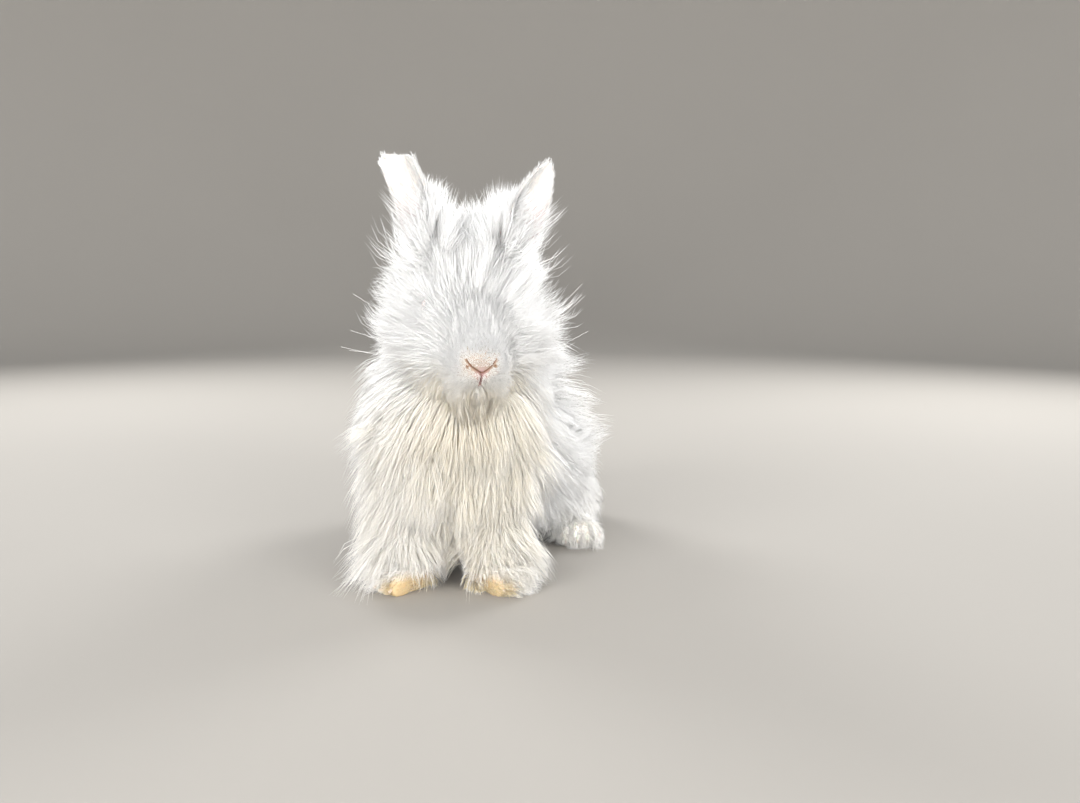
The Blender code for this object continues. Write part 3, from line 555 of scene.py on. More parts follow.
def face_lines(points):
    """Distances on the face, seen from the front, from its lines; large away from the muzzle."""
    back, up, side = head_places(points)
    flat = np.stack((np.abs(side), up), axis=1)
    away = np.where(back < FACE_DEPTH, 0.0, 1e3)
    return {
        "nostril": from_line(flat, NOSTRIL_LINE) + away,
        "mouth": from_line(flat, MOUTH_LINE) + away,
        "cleft": from_line(flat, CLEFT_LINE) + away,
        "pit": np.linalg.norm(flat - NOSTRIL_PIT, axis=1) + away,
        "pad": np.linalg.norm((flat - PAD_CENTRE) / PAD_RADII, axis=1) + away,
        "lip": np.linalg.norm(flat - LIP_PAD, axis=1) + away,
    }


def eye_frame(side):
    """The way an eye looks, and the directions along and across its lids."""
    ahead, up = EYE_LOOK
    look = unit(LEFT * SIGN[side] + FORWARD * ahead + UP * up)
    level = FORWARD + UP * 0.35
    along = unit(level - look * (level @ look))
    return look, along, np.cross(look, along) * SIGN[side]


def eye_places(points, side):
    """Distance from the eye's middle, cosine from its look, and distance outside the lids' edge."""
    look, along, across = eye_frame(side)
    ray = points - EYE_CENTRE[side]
    far = np.linalg.norm(ray, axis=1)
    way = ray / far[:, None]
    x, y = way @ along * LID_RADIUS / LID_OPENING[0], way @ across * LID_RADIUS / LID_OPENING[1]
    pinch = 1 - 0.25 * np.clip(np.abs(x), 0, 1) ** 3
    edge = (np.hypot(x, y / pinch) - 1) * LID_OPENING[1]
    return far, way @ look, np.where(way @ look > 0, edge, 20.0)


def shape_face(points, ways):
    """The nostrils, cleft, mouth, nose pad and lips, as moves along the way out."""
    lines = face_lines(points)
    cut = 1.15 * np.exp(-((lines["nostril"] / 0.5) ** 2)) + 0.9 * np.exp(-((lines["pit"] / 0.75) ** 2))
    cut += 1.1 * np.exp(-((lines["cleft"] / 0.5) ** 2)) + 1.2 * np.exp(-((lines["mouth"] / 0.5) ** 2))
    raised = 0.35 * (1 - smoothstep(lines["pad"], 0.7, 1.15)) + 0.55 * np.exp(-((lines["lip"] / 2.0) ** 2))
    front = smoothstep(ways @ FORWARD, -0.1, 0.25)
    return points + ways * ((raised - np.minimum(cut, 1.5)) * front)[:, None]


def shape_lids(points):
    """The lids: a thin shell round each eyeball, open in an almond, with a soft rim."""
    for side in SIDES:
        far, facing, edge = eye_places(points, side)
        rim = LID_RADIUS + 0.35 * np.exp(-(((edge - 0.5) / 0.45) ** 2))
        radius = EYE_FLOOR + (rim - EYE_FLOOR) * smoothstep(edge, -0.45, 0.15)
        weight = smoothstep(facing, 0.15, 0.5) * (far < 16)
        ray = points - EYE_CENTRE[side]
        points = EYE_CENTRE[side] + ray * (1 + weight * (radius / far - 1))[:, None]
    return points


def refine(mesh, near, cuts):
    """Splits the faces where near(points) holds, cuts times."""
    work = bmesh.new()
    work.from_mesh(mesh)
    for _ in range(cuts):
        work.verts.ensure_lookup_table()
        chosen = near(np.array([tuple(v.co) for v in work.verts]) / MM)
        edges = [edge for edge in work.edges if chosen[edge.verts[0].index] and chosen[edge.verts[1].index]]
        bmesh.ops.subdivide_edges(work, edges=edges, cuts=1, use_grid_fill=True)
        work.verts.index_update()
    bmesh.ops.triangulate(work, faces=[face for face in work.faces if len(face.verts) > 4])
    work.to_mesh(mesh)
    work.free()


def near_fine_parts(points):
    """Where the face and the lids need small faces."""
    back, up, side = head_places(points)
    chosen = (back < 12) & (up > -11) & (up < 9) & (np.abs(side) < 12)
    for each in SIDES:
        far, facing, _ = eye_places(points, each)
        chosen |= (far < 11) & (facing > 0.3)
    return chosen


def near_nose(points):
    """Where the nose and the lids' edges need the smallest faces."""
    lines = face_lines(points)
    chosen = (lines["nostril"] < 1.6) | (lines["cleft"] < 1.6) | (lines["mouth"] < 1.6) | (lines["pit"] < 2)
    for each in SIDES:
        far, _, edge = eye_places(points, each)
        chosen |= (far < 11) & (np.abs(edge) < 1.6)
    return chosen


def settle(points, flesh, rounds=4):
    """Moves points onto the surface of the flesh."""
    for _ in range(rounds):
        depth, way = flesh.measure(points)
        points = points - way * depth[:, None]
    return points


def ellipsoid(centre, radii, axes):
    """A closed ellipsoid as points and faces."""
    work = bmesh.new()
    bmesh.ops.create_icosphere(work, subdivisions=3, radius=1)
    verts = np.array([tuple(v.co) for v in work.verts]) * radii @ axes.T + centre
    faces = [tuple(v.index for v in face.verts) for face in work.faces]
    work.free()
    return verts, faces


def joined(shapes):
    """Several shapes as one set of points and faces."""
    verts, faces, start = [], [], 0
    for points, sides in shapes:
        verts.append(points)
        faces += [tuple(start + i for i in side) for side in sides]
        start += len(points)
    return np.concatenate(verts), faces


def outward(made):
    """Turns the faces of a closed mesh outwards."""
    work = bmesh.new()
    work.from_mesh(made.data)
    bmesh.ops.recalc_face_normals(work, faces=work.faces)
    work.to_mesh(made.data)
    work.free()
    return made


def make_skin(flesh, ears, settings):
    """The one skin: the flesh wrapped in small faces, with the face, lids and ears shaped."""
    blobs = [each for form in flesh.forms for each in form.blobs]
    skin = piece_from("skin", *joined([ellipsoid(*each) for each in blobs]))
    remesh = skin.modifiers.new("wrap", "REMESH")
    remesh.mode = "VOXEL"
    remesh.voxel_size = settings.voxel
    evaluated(skin)
    place_points(skin.data, settle(points_of(skin.data), flesh))
    refine(skin.data, near_fine_parts, 1)
    refine(skin.data, near_nose, 1)
    points = settle(points_of(skin.data), flesh, 3)
    points = shape_face(points, flesh.measure(points)[1])
    points = shape_lids(points)
    points[:, 2] = np.maximum(points[:, 2], 0.0)
    place_points(skin.data, points)
    for ear in ears:
        shell = outward(piece_from(f"shell_{ear.side}", *ear.shell()))
        union = skin.modifiers.new("ear", "BOOLEAN")
        union.operation, union.object, union.solver = "UNION", shell, "MANIFOLD"
        evaluated(skin)
        bpy.data.objects.remove(shell)
    work = bmesh.new()
    work.from_mesh(skin.data)
    bmesh.ops.triangulate(work, faces=work.faces)
    work.to_mesh(skin.data)
    work.free()
    smooth(skin.data)
    return skin


def unwrap(skin):
    """Lays the skin's own shape out flat in a map named OFBake."""
    skin.data.uv_layers.new(name="OFBake")
    bpy.context.view_layer.objects.active = skin
    skin.select_set(True)
    bpy.ops.object.mode_set(mode="EDIT")
    bpy.ops.mesh.select_all(action="SELECT")
    bpy.ops.uv.smart_project(angle_limit=math.radians(66), island_margin=0.002)
    bpy.ops.object.mode_set(mode="OBJECT")
    skin.select_set(False)


def markings(points):
    """How creamy and how stained the coat is at places of the skin, from 0 to 1; the second mask also holds
    painted shade down the parting between the fore legs.
    """
    x, y, z = points.T
    front = 1 - smoothstep(y, -62, -30)
    middle = 0.55 + 0.45 * np.exp(-(((x + 5) / 20) ** 2))
    cream = front * (1 - smoothstep(z, 88, 112)) * middle + 0.35 * (1 - smoothstep(z, 10, 45)) * (1 - front)
    cream = np.maximum(cream, beard_at(points) * (z > 70))
    # Browner under the chin.
    stain_and_painted_shade = 0.36 * np.exp(-((np.linalg.norm(points - on_head(*CHIN), axis=1) / 13) ** 2))
    # Painted shade: browner down the parting between the fore legs, where shade falls between them.
    stain_and_painted_shade += 0.45 * np.exp(-(((x - PARTING[0]) / 8) ** 2)) * (1 - smoothstep(z, 20, 50)) * (y < -45)
    for side in SIDES:
        place, splay = FORE_PAW[side], FORE_SPLAY[side]
        ahead, left = paw_axes(splay)
        run = points - (*place, 4.0)
        inner = run @ left * -SIGN[side]
        along = run @ ahead
        spot = smoothstep(inner, 0.5, 5.0) * (1 - smoothstep(np.abs(along - 1), 15, 21))
        spot = spot * (1 - smoothstep(z, 6, 11))
        stain_and_painted_shade = np.maximum(stain_and_painted_shade, spot * (np.abs(run @ left) < 16))
    return np.clip(cream, 0, 1), stain_and_painted_shade


def paint_skin(skin, ears):
    """Masks of the bare parts and of the markings, which the skin's material reads; the thin mask also
    carries painted shade where the fur is short.
    """
    points = points_of(skin.data)
    lines = face_lines(points)
    cream, stain_and_painted_shade = markings(points)
    nose = 1 - smoothstep(lines["pad"], 0.85, 1.35)
    lip = np.maximum(np.exp(-((lines["cleft"] / 2.6) ** 2)), 0.7 * np.exp(-((lines["mouth"] / 1.0) ** 2)))
    rims = np.zeros(len(points))
    for side in SIDES:
        far, facing, edge = eye_places(points, side)
        rim = np.exp(-((np.minimum(edge - 0.2, 20) / 0.45) ** 2))
        rims = np.maximum(rims, rim * (facing > 0) * (far < 9.5))
    # Painted shade: dark lines along the nostril slits, the nostril pits and the seams of the mouth and
    # cleft, where shade falls in the cuts.
    line = np.maximum(np.exp(-((lines["nostril"] / 0.45) ** 2)), np.exp(-((lines["pit"] / 0.8) ** 2)))
    seams = np.exp(-((np.minimum(lines["mouth"], lines["cleft"]) / 0.35) ** 2))
    inside = np.zeros(len(points))
    # Painted shade: where the fur is short, round the nose, on the ears and on the fore toes, the hide is
    # painted darker. This is partly hide showing through the fur and partly a stand-in for the shade that
    # long wool casts on itself.
    thin = (1 - smoothstep(head_places(points)[0], 5, 13)) * (points[:, 2] > 70)
    for ear in ears:
        t, share, out = ear.places(points)
        on_ear = (np.abs(out) < 2.2) & (np.abs(share) < 1.15)
        bald = 1 - smoothstep(share * ear.inward, -0.1, 0.5)
        bald = bald * (1 - 0.5 * smoothstep(np.abs(share), 0.8, 1.0)) * (1 - 0.9 * smoothstep(t, 0.5, 0.8))
        inside = np.maximum(inside, (on_ear & (t > 0.12) & (out < 0.2)) * bald)
        thin = np.maximum(thin, 0.5 * on_ear * smoothstep(t, 0.15, 0.35))
    toes_shown = 0.45 * (1 - smoothstep(points[:, 2], 9, 14)) * (points[:, 1] < -62)
    masks = {
        "cream": cream,
        "stain_and_painted_shade": stain_and_painted_shade,
        "nose": nose,
        "lip": np.maximum(lip, rims * 0.8),
        "line": np.maximum(line, 0.55 * seams),
        "ear": inside,
        "thin": np.maximum(thin, toes_shown),
    }
    for name, values in masks.items():
        store(skin.data, name, values)


def closed(values, reach):
    """Fills the narrow gaps of a shape that is given by distances on a grid."""
    span = range(-reach, reach + 1)
    ball = [(i, j, k) for i in span for j in span for k in span if i * i + j * j + k * k <= reach * reach]
    for choose in (np.minimum, np.maximum):
        padded = np.pad(values, reach, mode="edge")
        for shift in ball:
            window = tuple(slice(reach + d, reach + d + n) for d, n in zip(shift, values.shape))
            values = choose(values, padded[window])
    return values


class Outline:
    """How far places stand outside the frame's solids, which the ends of the wool reach."""

    cell = 3.0
    margin = 12.0

    def __init__(self):
        points, faces = [], []
        for name in FLESH_NODES:
            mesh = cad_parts[name].data
            start = len(points)
            points += [v.co / MM for v in mesh.vertices]
            faces += [tuple(start + i for i in face.vertices) for face in mesh.polygons]
        tree = BVHTree.FromPolygons(points, faces)
        corner, end = (np.array(each) / MM for each in CAD_BOX)
        self.corner = corner - self.margin
        self.count = np.ceil((end - corner + 2 * self.margin) / self.cell).astype(int) + 1
        values = []
        for place in np.indices(self.count).reshape(3, -1).T * self.cell + self.corner:
            nearest, normal, _, distance = tree.find_nearest(place)
            values.append(distance if (Vector(place) - nearest).dot(normal) > 0 else -distance)
        self.values = closed(np.array(values).reshape(self.count), 2)

    def outside(self, points):
        """The distance of points outside the solids, negative inside."""
        at = np.clip((points - self.corner) / self.cell, 0, self.count - 1.001)
        low = at.astype(int)
        share = at - low
        total = np.zeros(points.shape[:-1])
        for step in np.indices((2, 2, 2)).reshape(3, -1).T:
            weight = np.where(step == 1, share, 1 - share).prod(axis=-1)
            near = low + step
            total += weight * self.values[near[..., 0], near[..., 1], near[..., 2]]
        return total

    def depth(self, roots, ways, most=40.0):
        """How much room the wool has at each root, straight out of the skin."""
        steps = np.arange(1.0, most, 1.5)
        out = self.outside(roots[:, None] + ways[:, None] * steps[None, :, None]) > 0.8
        first = np.where(out.any(axis=1), out.argmax(axis=1), len(steps) - 1)
        return steps[first] - 0.75


class Roots:
    """Places on the skin where wool grows, with all that the wool's growth reads there."""

    def __init__(self, skin, flesh, ears):
        mesh = skin.data
        mesh.calc_loop_triangles()
        count = len(mesh.loop_triangles)
        corners, loops = np.zeros(count * 3, np.int32), np.zeros(count * 3, np.int32)
        mesh.loop_triangles.foreach_get("vertices", corners)
        mesh.loop_triangles.foreach_get("loops", loops)
        places = np.zeros(len(mesh.loops) * 2, np.float32)
        mesh.uv_layers["OFBake"].data.foreach_get("uv", places)
        self.corners = points_of(mesh)[corners.reshape(-1, 3)]
        self.uvs = places.reshape(-1, 2)[loops.reshape(-1, 3)]
        edge_a, edge_b = self.corners[:, 1] - self.corners[:, 0], self.corners[:, 2] - self.corners[:, 0]
        cross = np.cross(edge_a, edge_b)
        self.area = np.linalg.norm(cross, axis=1) / 2
        self.way = unit(cross)
        self.middle = self.corners.mean(axis=1)
        self.flesh, self.ears = flesh, ears
        depths = flesh.measure(self.middle, each=True)
        self.part = np.array(flesh.names)[depths.argmin(axis=1)]
        outside = depths.min(axis=1) > 0.8
        self.ear = np.zeros(count, int)
        for i, ear in enumerate(ears):
            t, share, out = ear.places(self.middle)
            self.ear[(np.abs(out) < 2.5) & (np.abs(share) < 1.2) & (t > 0.08) & outside] = i + 1

    def draw(self, weight, count, chance):
        """Roots spread evenly by weight and area: triangle, place and place on the map."""
        total = np.cumsum(self.area * weight)
        at = (np.arange(count) + chance.random(count)) / count * total[-1]
        triangle = np.minimum(np.searchsorted(total, at), len(total) - 1)
        a, b = np.sqrt(chance.random(count)), chance.random(count)
        mix = np.stack((1 - a, a * (1 - b), a * b), axis=1)[:, :, None]
        return triangle, (self.corners[triangle] * mix).sum(axis=1), (self.uvs[triangle] * mix).sum(axis=1)


# The natural length of each form's wool
WOOL_LENGTHS = {
    "neck": 42.0,
    "torso": 44.0,
    "tail": 22.0,
    "fore_leg": 27.0,
    "hind_leg": 34.0,
    "paw_fore": 6.0,
    "paw_hind": 13.0,
}
HEAD_BACKS = (0.0, 6.0, 12.0, 20.0, 30.0, 42.0, 56.0)  # distance back from the nose
HEAD_LENGTHS = (2.0, 9.0, 17.0, 24.0, 30.0, 34.0, 37.0)
WOOL_BLEND = 3.5  # how softly one form's wool passes into the next one's


# How far the coat stands beyond the solids, by height: the right breast and the left flank
BREAST_HEIGHTS = (0, 15, 25, 40, 60, 75, 90, 110, 125)
BREAST_FULLNESS = (-4, 0, 11, 11, 8, 5, 14, 12, 0)
FLANK_HEIGHTS = (58, 70, 82, 92, 100, 112)
FLANK_FULLNESS = (0, -6, -3, 0, 5, 0)


def beard_at(points):
    """How far places of the head belong to the beard, from 0 to 1."""
    back, up, _ = head_places(points)
    return smoothstep(-up, 5, 10) * (1 - smoothstep(back, 24, 42)) * smoothstep(back, 0, 4)


def fuller(points):
    """How much further out than the solids the coat stands, most at the left cheek and the right breast."""
    back, up, side = head_places(points)
    x, y, z = points.T
    cheek = smoothstep(side, 4, 14) * smoothstep(back, 8, 20)
    cheek = cheek * (1 - smoothstep(back, 46, 58)) * smoothstep(up, -22, -10)
    breast = smoothstep(-x, 20, 34) * (1 - smoothstep(y, -45, -20))
    breast = breast * np.interp(z, BREAST_HEIGHTS, BREAST_FULLNESS)
    fore = 1 - smoothstep(y, -70, -50)
    cuff = (smoothstep(x, 8, 18) + smoothstep(6 - x, 2, 9) * (x > -12)) * fore * (1 - smoothstep(z, 25, 45))
    throat = (1 - smoothstep(y, -66, -56)) * smoothstep(z, 62, 76)
    throat = throat * (1 - smoothstep(z, 96, 106)) * (np.abs(x + 4) < 30)
    foot = smoothstep(y, -20, -8) * (1 - smoothstep(z, 14, 30))
    flank = smoothstep(x, 14, 30) * smoothstep(y, -44, -30) * np.interp(z, FLANK_HEIGHTS, FLANK_FULLNESS)
    return 12.0 * cheek + breast * (cheek == 0) + 7.0 * cuff + 9.0 * throat + 3.0 * foot + flank


def part_wool(name, points):
    """Length and lie of one form's wool at places of the skin."""
    kind = name.rsplit("_", 1)[0]
    y, z = points[:, 1], points[:, 2]
    if name == "head":
        back, up, side = head_places(points)
        radial = unit(points - on_head(25, 2))
        ring = unit(UP * (up + 2)[:, None] + LEFT * side[:, None])
        muzzle = (1 - smoothstep(back, 8, 30))[:, None]
        beard = beard_at(points)
        length = np.interp(back, HEAD_BACKS, HEAD_LENGTHS) + 15 * beard
        crown = smoothstep(back, 26, 44)
        lie = -FORWARD * (1 - 0.4 * muzzle) + ring * 0.9 * muzzle + radial * (0.35 + 0.3 * crown)[:, None]
        lie = lie + DOWN * (1.2 * smoothstep(back, 46, 60))[:, None]
        return length, lie + DOWN * (0.2 * smoothstep(-up, 4, 12) + 1.3 * beard)[:, None]
    if name == "neck":
        behind = smoothstep(y, -62, -30)[:, None]
        lie = DOWN * (1 - 0.5 * behind) + np.array((0, 1, 0)) * (0.15 + 0.9 * behind)
    elif name == "torso":
        chest, rump = (1 - smoothstep(y, -64, -28))[:, None], smoothstep(y, 38, 82)[:, None]
        parted = np.tile((0.0, -0.05, -1.0), (len(points), 1))
        parted[:, 0] = 0.012 * (points[:, 0] + 12)
        lie = np.array((0, 0.8, -0.55)) * (1 - chest) * (1 - rump)
        lie = lie + parted * chest + np.array((0, 0.3, -1.0)) * rump
    elif kind == "fore_leg":
        lie = np.tile((0, -0.1, -1.0), (len(points), 1))
    elif kind == "hind_leg":
        low = (1 - smoothstep(z, 24, 46))[:, None]
        lie = np.array((0, 0.8, -0.45)) * (1 - low) + np.array((0, 0.25, -1.0)) * low
    elif name == "tail":
        lie = np.tile((0, 1.0, 0.1), (len(points), 1))
    else:
        splays, fall = (FORE_SPLAY, 0.25) if kind == "paw_fore" else (HIND_SPLAY, 1.2)
        lie = np.tile(paw_axes(splays[name.rsplit("_", 1)[1]])[0] + DOWN * fall, (len(points), 1))
    return np.full(len(points), WOOL_LENGTHS[kind if kind in WOOL_LENGTHS else name]), lie


def wool_at(flesh, points, ways):
    """Length and lie of the wool, flowing from each form into the next."""
    depths = flesh.measure(points, each=True)
    _, share = soft_least(depths, WOOL_BLEND)
    length, lie = np.zeros(len(points)), np.zeros_like(points)
    for i, name in enumerate(flesh.names):
        each = part_wool(name, points)
        length += share[:, i] * each[0]
        lie += share[:, i, None] * unit(each[1])
    lines = face_lines(points)
    beside = np.minimum(lines["cleft"], lines["pad"] * 3.5)
    beside = np.minimum(np.minimum(lines["nostril"], lines["mouth"]), beside)
    length = length * (0.3 + 0.7 * smoothstep(beside, 1.2, 5.0))
    under = smoothstep(-ways[:, 2], 0.5, 0.95) * (points[:, 2] < 60)
    length = length * (1 - 0.4 * under)
    length = length * (1 - 0.62 * near_eyes(points))
    return length, lie


def near_eyes(points):
    """How near places of the skin are to an eye, from 0 to 1; the brow above it counts less."""
    most = np.zeros(len(points))
    for side in SIDES:
        far, facing, _ = eye_places(points, side)
        above = smoothstep((points - EYE_CENTRE[side]) @ UP, 1, 7)
        most = np.maximum(most, (1 - smoothstep(far, 8.5, 14)) * (facing > -0.2) * (1 - 0.35 * above))
    return most


def bare(points):
    """Whether no wool grows at places of the skin: the nose pad, the lips and the eyes."""
    lines = face_lines(points)
    none = (lines["pad"] < 1.0) & (head_places(points)[1] < 3.6)
    for name, reach in (("nostril", 0.7), ("cleft", 0.6), ("mouth", 0.6), ("pit", 0.8)):
        none |= lines[name] < reach
    for side in SIDES:
        far, _, edge = eye_places(points, side)
        none |= (far < 10) & (edge < 0.9)
    return none


def flow(points, seed):
    """A slow wander over the coat, from -1 to 1, which bends neighbouring strands alike."""
    chance = np.random.default_rng(seed)
    total = np.zeros(len(points))
    for wavelength in (34.0, 22.0, 13.0):
        way = unit(chance.normal(0, 1, 3)) * 2 * math.pi / wavelength
        bend = unit(chance.normal(0, 1, 3)) * 2 * math.pi / (wavelength * 1.7)
        total += np.sin(points @ way + 1.5 * np.sin(points @ bend) + chance.random() * 6)
    return total / 3


def spun(ways, lies, angles):
    """The lies laid along the skin and turned about the way out."""
    flat = unit(lies - ways * dot(lies, ways)[:, None])
    side = np.cross(ways, flat)
    return flat * np.cos(angles)[:, None] + side * np.sin(angles)[:, None]


def strand_paths(roots, ways, lies, length, lift, droop, stations):
    """The points of each strand, which leaves at its lift, bends over to its lie and droops."""
    lift = np.radians(lift)[:, None]
    start = unit(ways * np.sin(lift) + lies * np.cos(lift))
    end = unit(lies + ways * np.sin(lift) * 0.45 + DOWN * droop[:, None])
    points = [roots - start * 0.7]
    here = roots
    for before, after in zip(stations, stations[1:]):
        share = (before + after) / 2
        here = here + unit(start * (1 - share) + end * share) * (length * (after - before))[:, None]
        points.append(here)
    return np.stack(points, axis=1)


def gathered(paths, roots, stations, size, strength, chance):
    """Draws strands together towards the nearest of a few leading strands."""
    leaders = np.sort(chance.choice(len(roots), max(1, len(roots) // size), replace=False))
    tree = KDTree(len(leaders))
    for i, at in enumerate(leaders):
        tree.insert(roots[at], i)
    tree.balance()
    own = leaders[[tree.find(root)[1] for root in roots]]
    pull = strength * (0.6 + 0.8 * chance.random(len(leaders)))
    pull = dict(zip(leaders, pull))
    pulls = np.array([pull[leader] for leader in own])[:, None]
    apart = roots - roots[own]
    for i, station in enumerate(stations):
        share = pulls * station**1.2
        target = paths[own, i] + apart * (1 - 0.75 * station)
        paths[:, i] = paths[:, i] * (1 - share) + target * share
    return paths


def clear_of_flesh(paths, flesh, least):
    """Lifts strands that dip into the flesh, and keeps them above the floor."""
    for i in range(1, paths.shape[1]):
        depth, way = flesh.measure(paths[:, i])
        short = np.maximum(least * min(1.0, 0.5 * i) - depth, 0)
        paths[:, i] += way * short[:, None]
        paths[:, i, 2] = np.maximum(paths[:, i, 2], 0.6)
    return paths


def strand_mesh(name, paths, sides, widths, stations):
    """Closed three-sided strands as one mesh; returns the object and each vertex's strand and place."""
    count, rings = paths.shape[0], paths.shape[1] - 1
    verts = np.zeros((count, 3 * rings + 1, 3))
    for i in range(rings):
        along = unit(paths[:, i + 1] - paths[:, max(i - 1, 0)])
        across = unit(sides - along * dot(sides, along)[:, None])
        through_way = np.cross(across, along)
        half = widths * (1 - 0.55 * stations[i]) / 2
        for k, angle in enumerate((0, 2.094, 4.189)):
            ray = across * math.cos(angle) + through_way * math.sin(angle)
            verts[:, 3 * i + k] = paths[:, i] + ray * half[:, None]
    verts[:, -1] = paths[:, -1]
    faces = [(0, 1, 2)]
    for i in range(rings - 1):
        for k in range(3):
            a, b = 3 * i + k, 3 * i + (k + 1) % 3
            faces += [(a, b + 3, b), (a, a + 3, b + 3)]
    top = 3 * (rings - 1)
    faces += [(top + k, 3 * rings, top + (k + 1) % 3) for k in range(3)]
    faces = (np.array(faces)[None] + np.arange(count)[:, None, None] * (3 * rings + 1)).reshape(-1, 3)
    mesh = bpy.data.meshes.new(name)
    mesh.vertices.add(count * (3 * rings + 1))
    mesh.vertices.foreach_set("co", (verts * MM).astype(np.float32).ravel())
    mesh.loops.add(faces.size)
    mesh.loops.foreach_set("vertex_index", faces.astype(np.int32).ravel())
    mesh.polygons.add(len(faces))
    mesh.polygons.foreach_set("loop_start", np.arange(0, faces.size, 3, dtype=np.int32))
    mesh.update(calc_edges=True)
    smooth(mesh)
    made = bpy.data.objects.new(name, mesh)
    bpy.context.scene.collection.objects.link(made)
    return made, faces


PATCH = 0.003  # the size of a strand's place on the map
ROOT_LEAN = 0.12


def map_strands(mesh, faces, uvs, rings, stations):
    """Gives each strand a small patch at its root's place on the skin's map."""
    patch = [(stations[i] + (ROOT_LEAN if k == 1 else 0), k / 3) for i in range(rings) for k in range(3)]
    patch = (np.array(patch + [(1.0, 0.5)]) - 0.5) * PATCH
    places = (uvs[:, None] + patch[None]).reshape(-1, 2)
    layer = mesh.uv_layers.new(name="OFBake")
    layer.data.foreach_set("uv", places[faces.ravel()].astype(np.float32).ravel())


def finish_wool(name, paths, ways, uvs, roots, widths, stations, chance, painted_light_tone):
    """Turns strand paths into one piece of the coat."""
    lies = paths[:, -1] - paths[:, 0]
    sides = unit(np.cross(lies, ways) + 1e-6)
    turn = chance.random(len(paths)) * 2 * math.pi
    sides = sides * np.cos(turn)[:, None] + ways * np.sin(turn)[:, None]
    made, faces = strand_mesh(name, paths, sides, widths, stations)
    map_strands(made.data, faces, uvs, paths.shape[1] - 1, stations)
    each = 3 * (paths.shape[1] - 1) + 1
    cream, stain_and_painted_shade = markings(roots)
    store(made.data, "cream", np.repeat(cream, each))
    store(made.data, "stain_and_painted_shade", np.repeat(stain_and_painted_shade, each))
    # Each strand's shade: its painted light tone with a little random tone.
    store(made.data, "shade", np.repeat(painted_light_tone + 0.1 * chance.random(len(paths)), each))
    made.data.materials.append(wool_material())
    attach(made, "root")
    return made


BOX_SLACK = 10.0  # no strand ends further than this outside the solids' box
PARTING = (-13.0, 4.5, 34.0)  # middle, half width at the floor, and height
RISE = 0.72  # how far a strand rises, as a share of its length, when it leaves straight up
LONG = (0.0, 0.38, 0.74, 1.0)
SHORT = (0.0, 0.52, 1.0)
STRAIGHT = (0.0, 1.0)
THINNED = 1.0


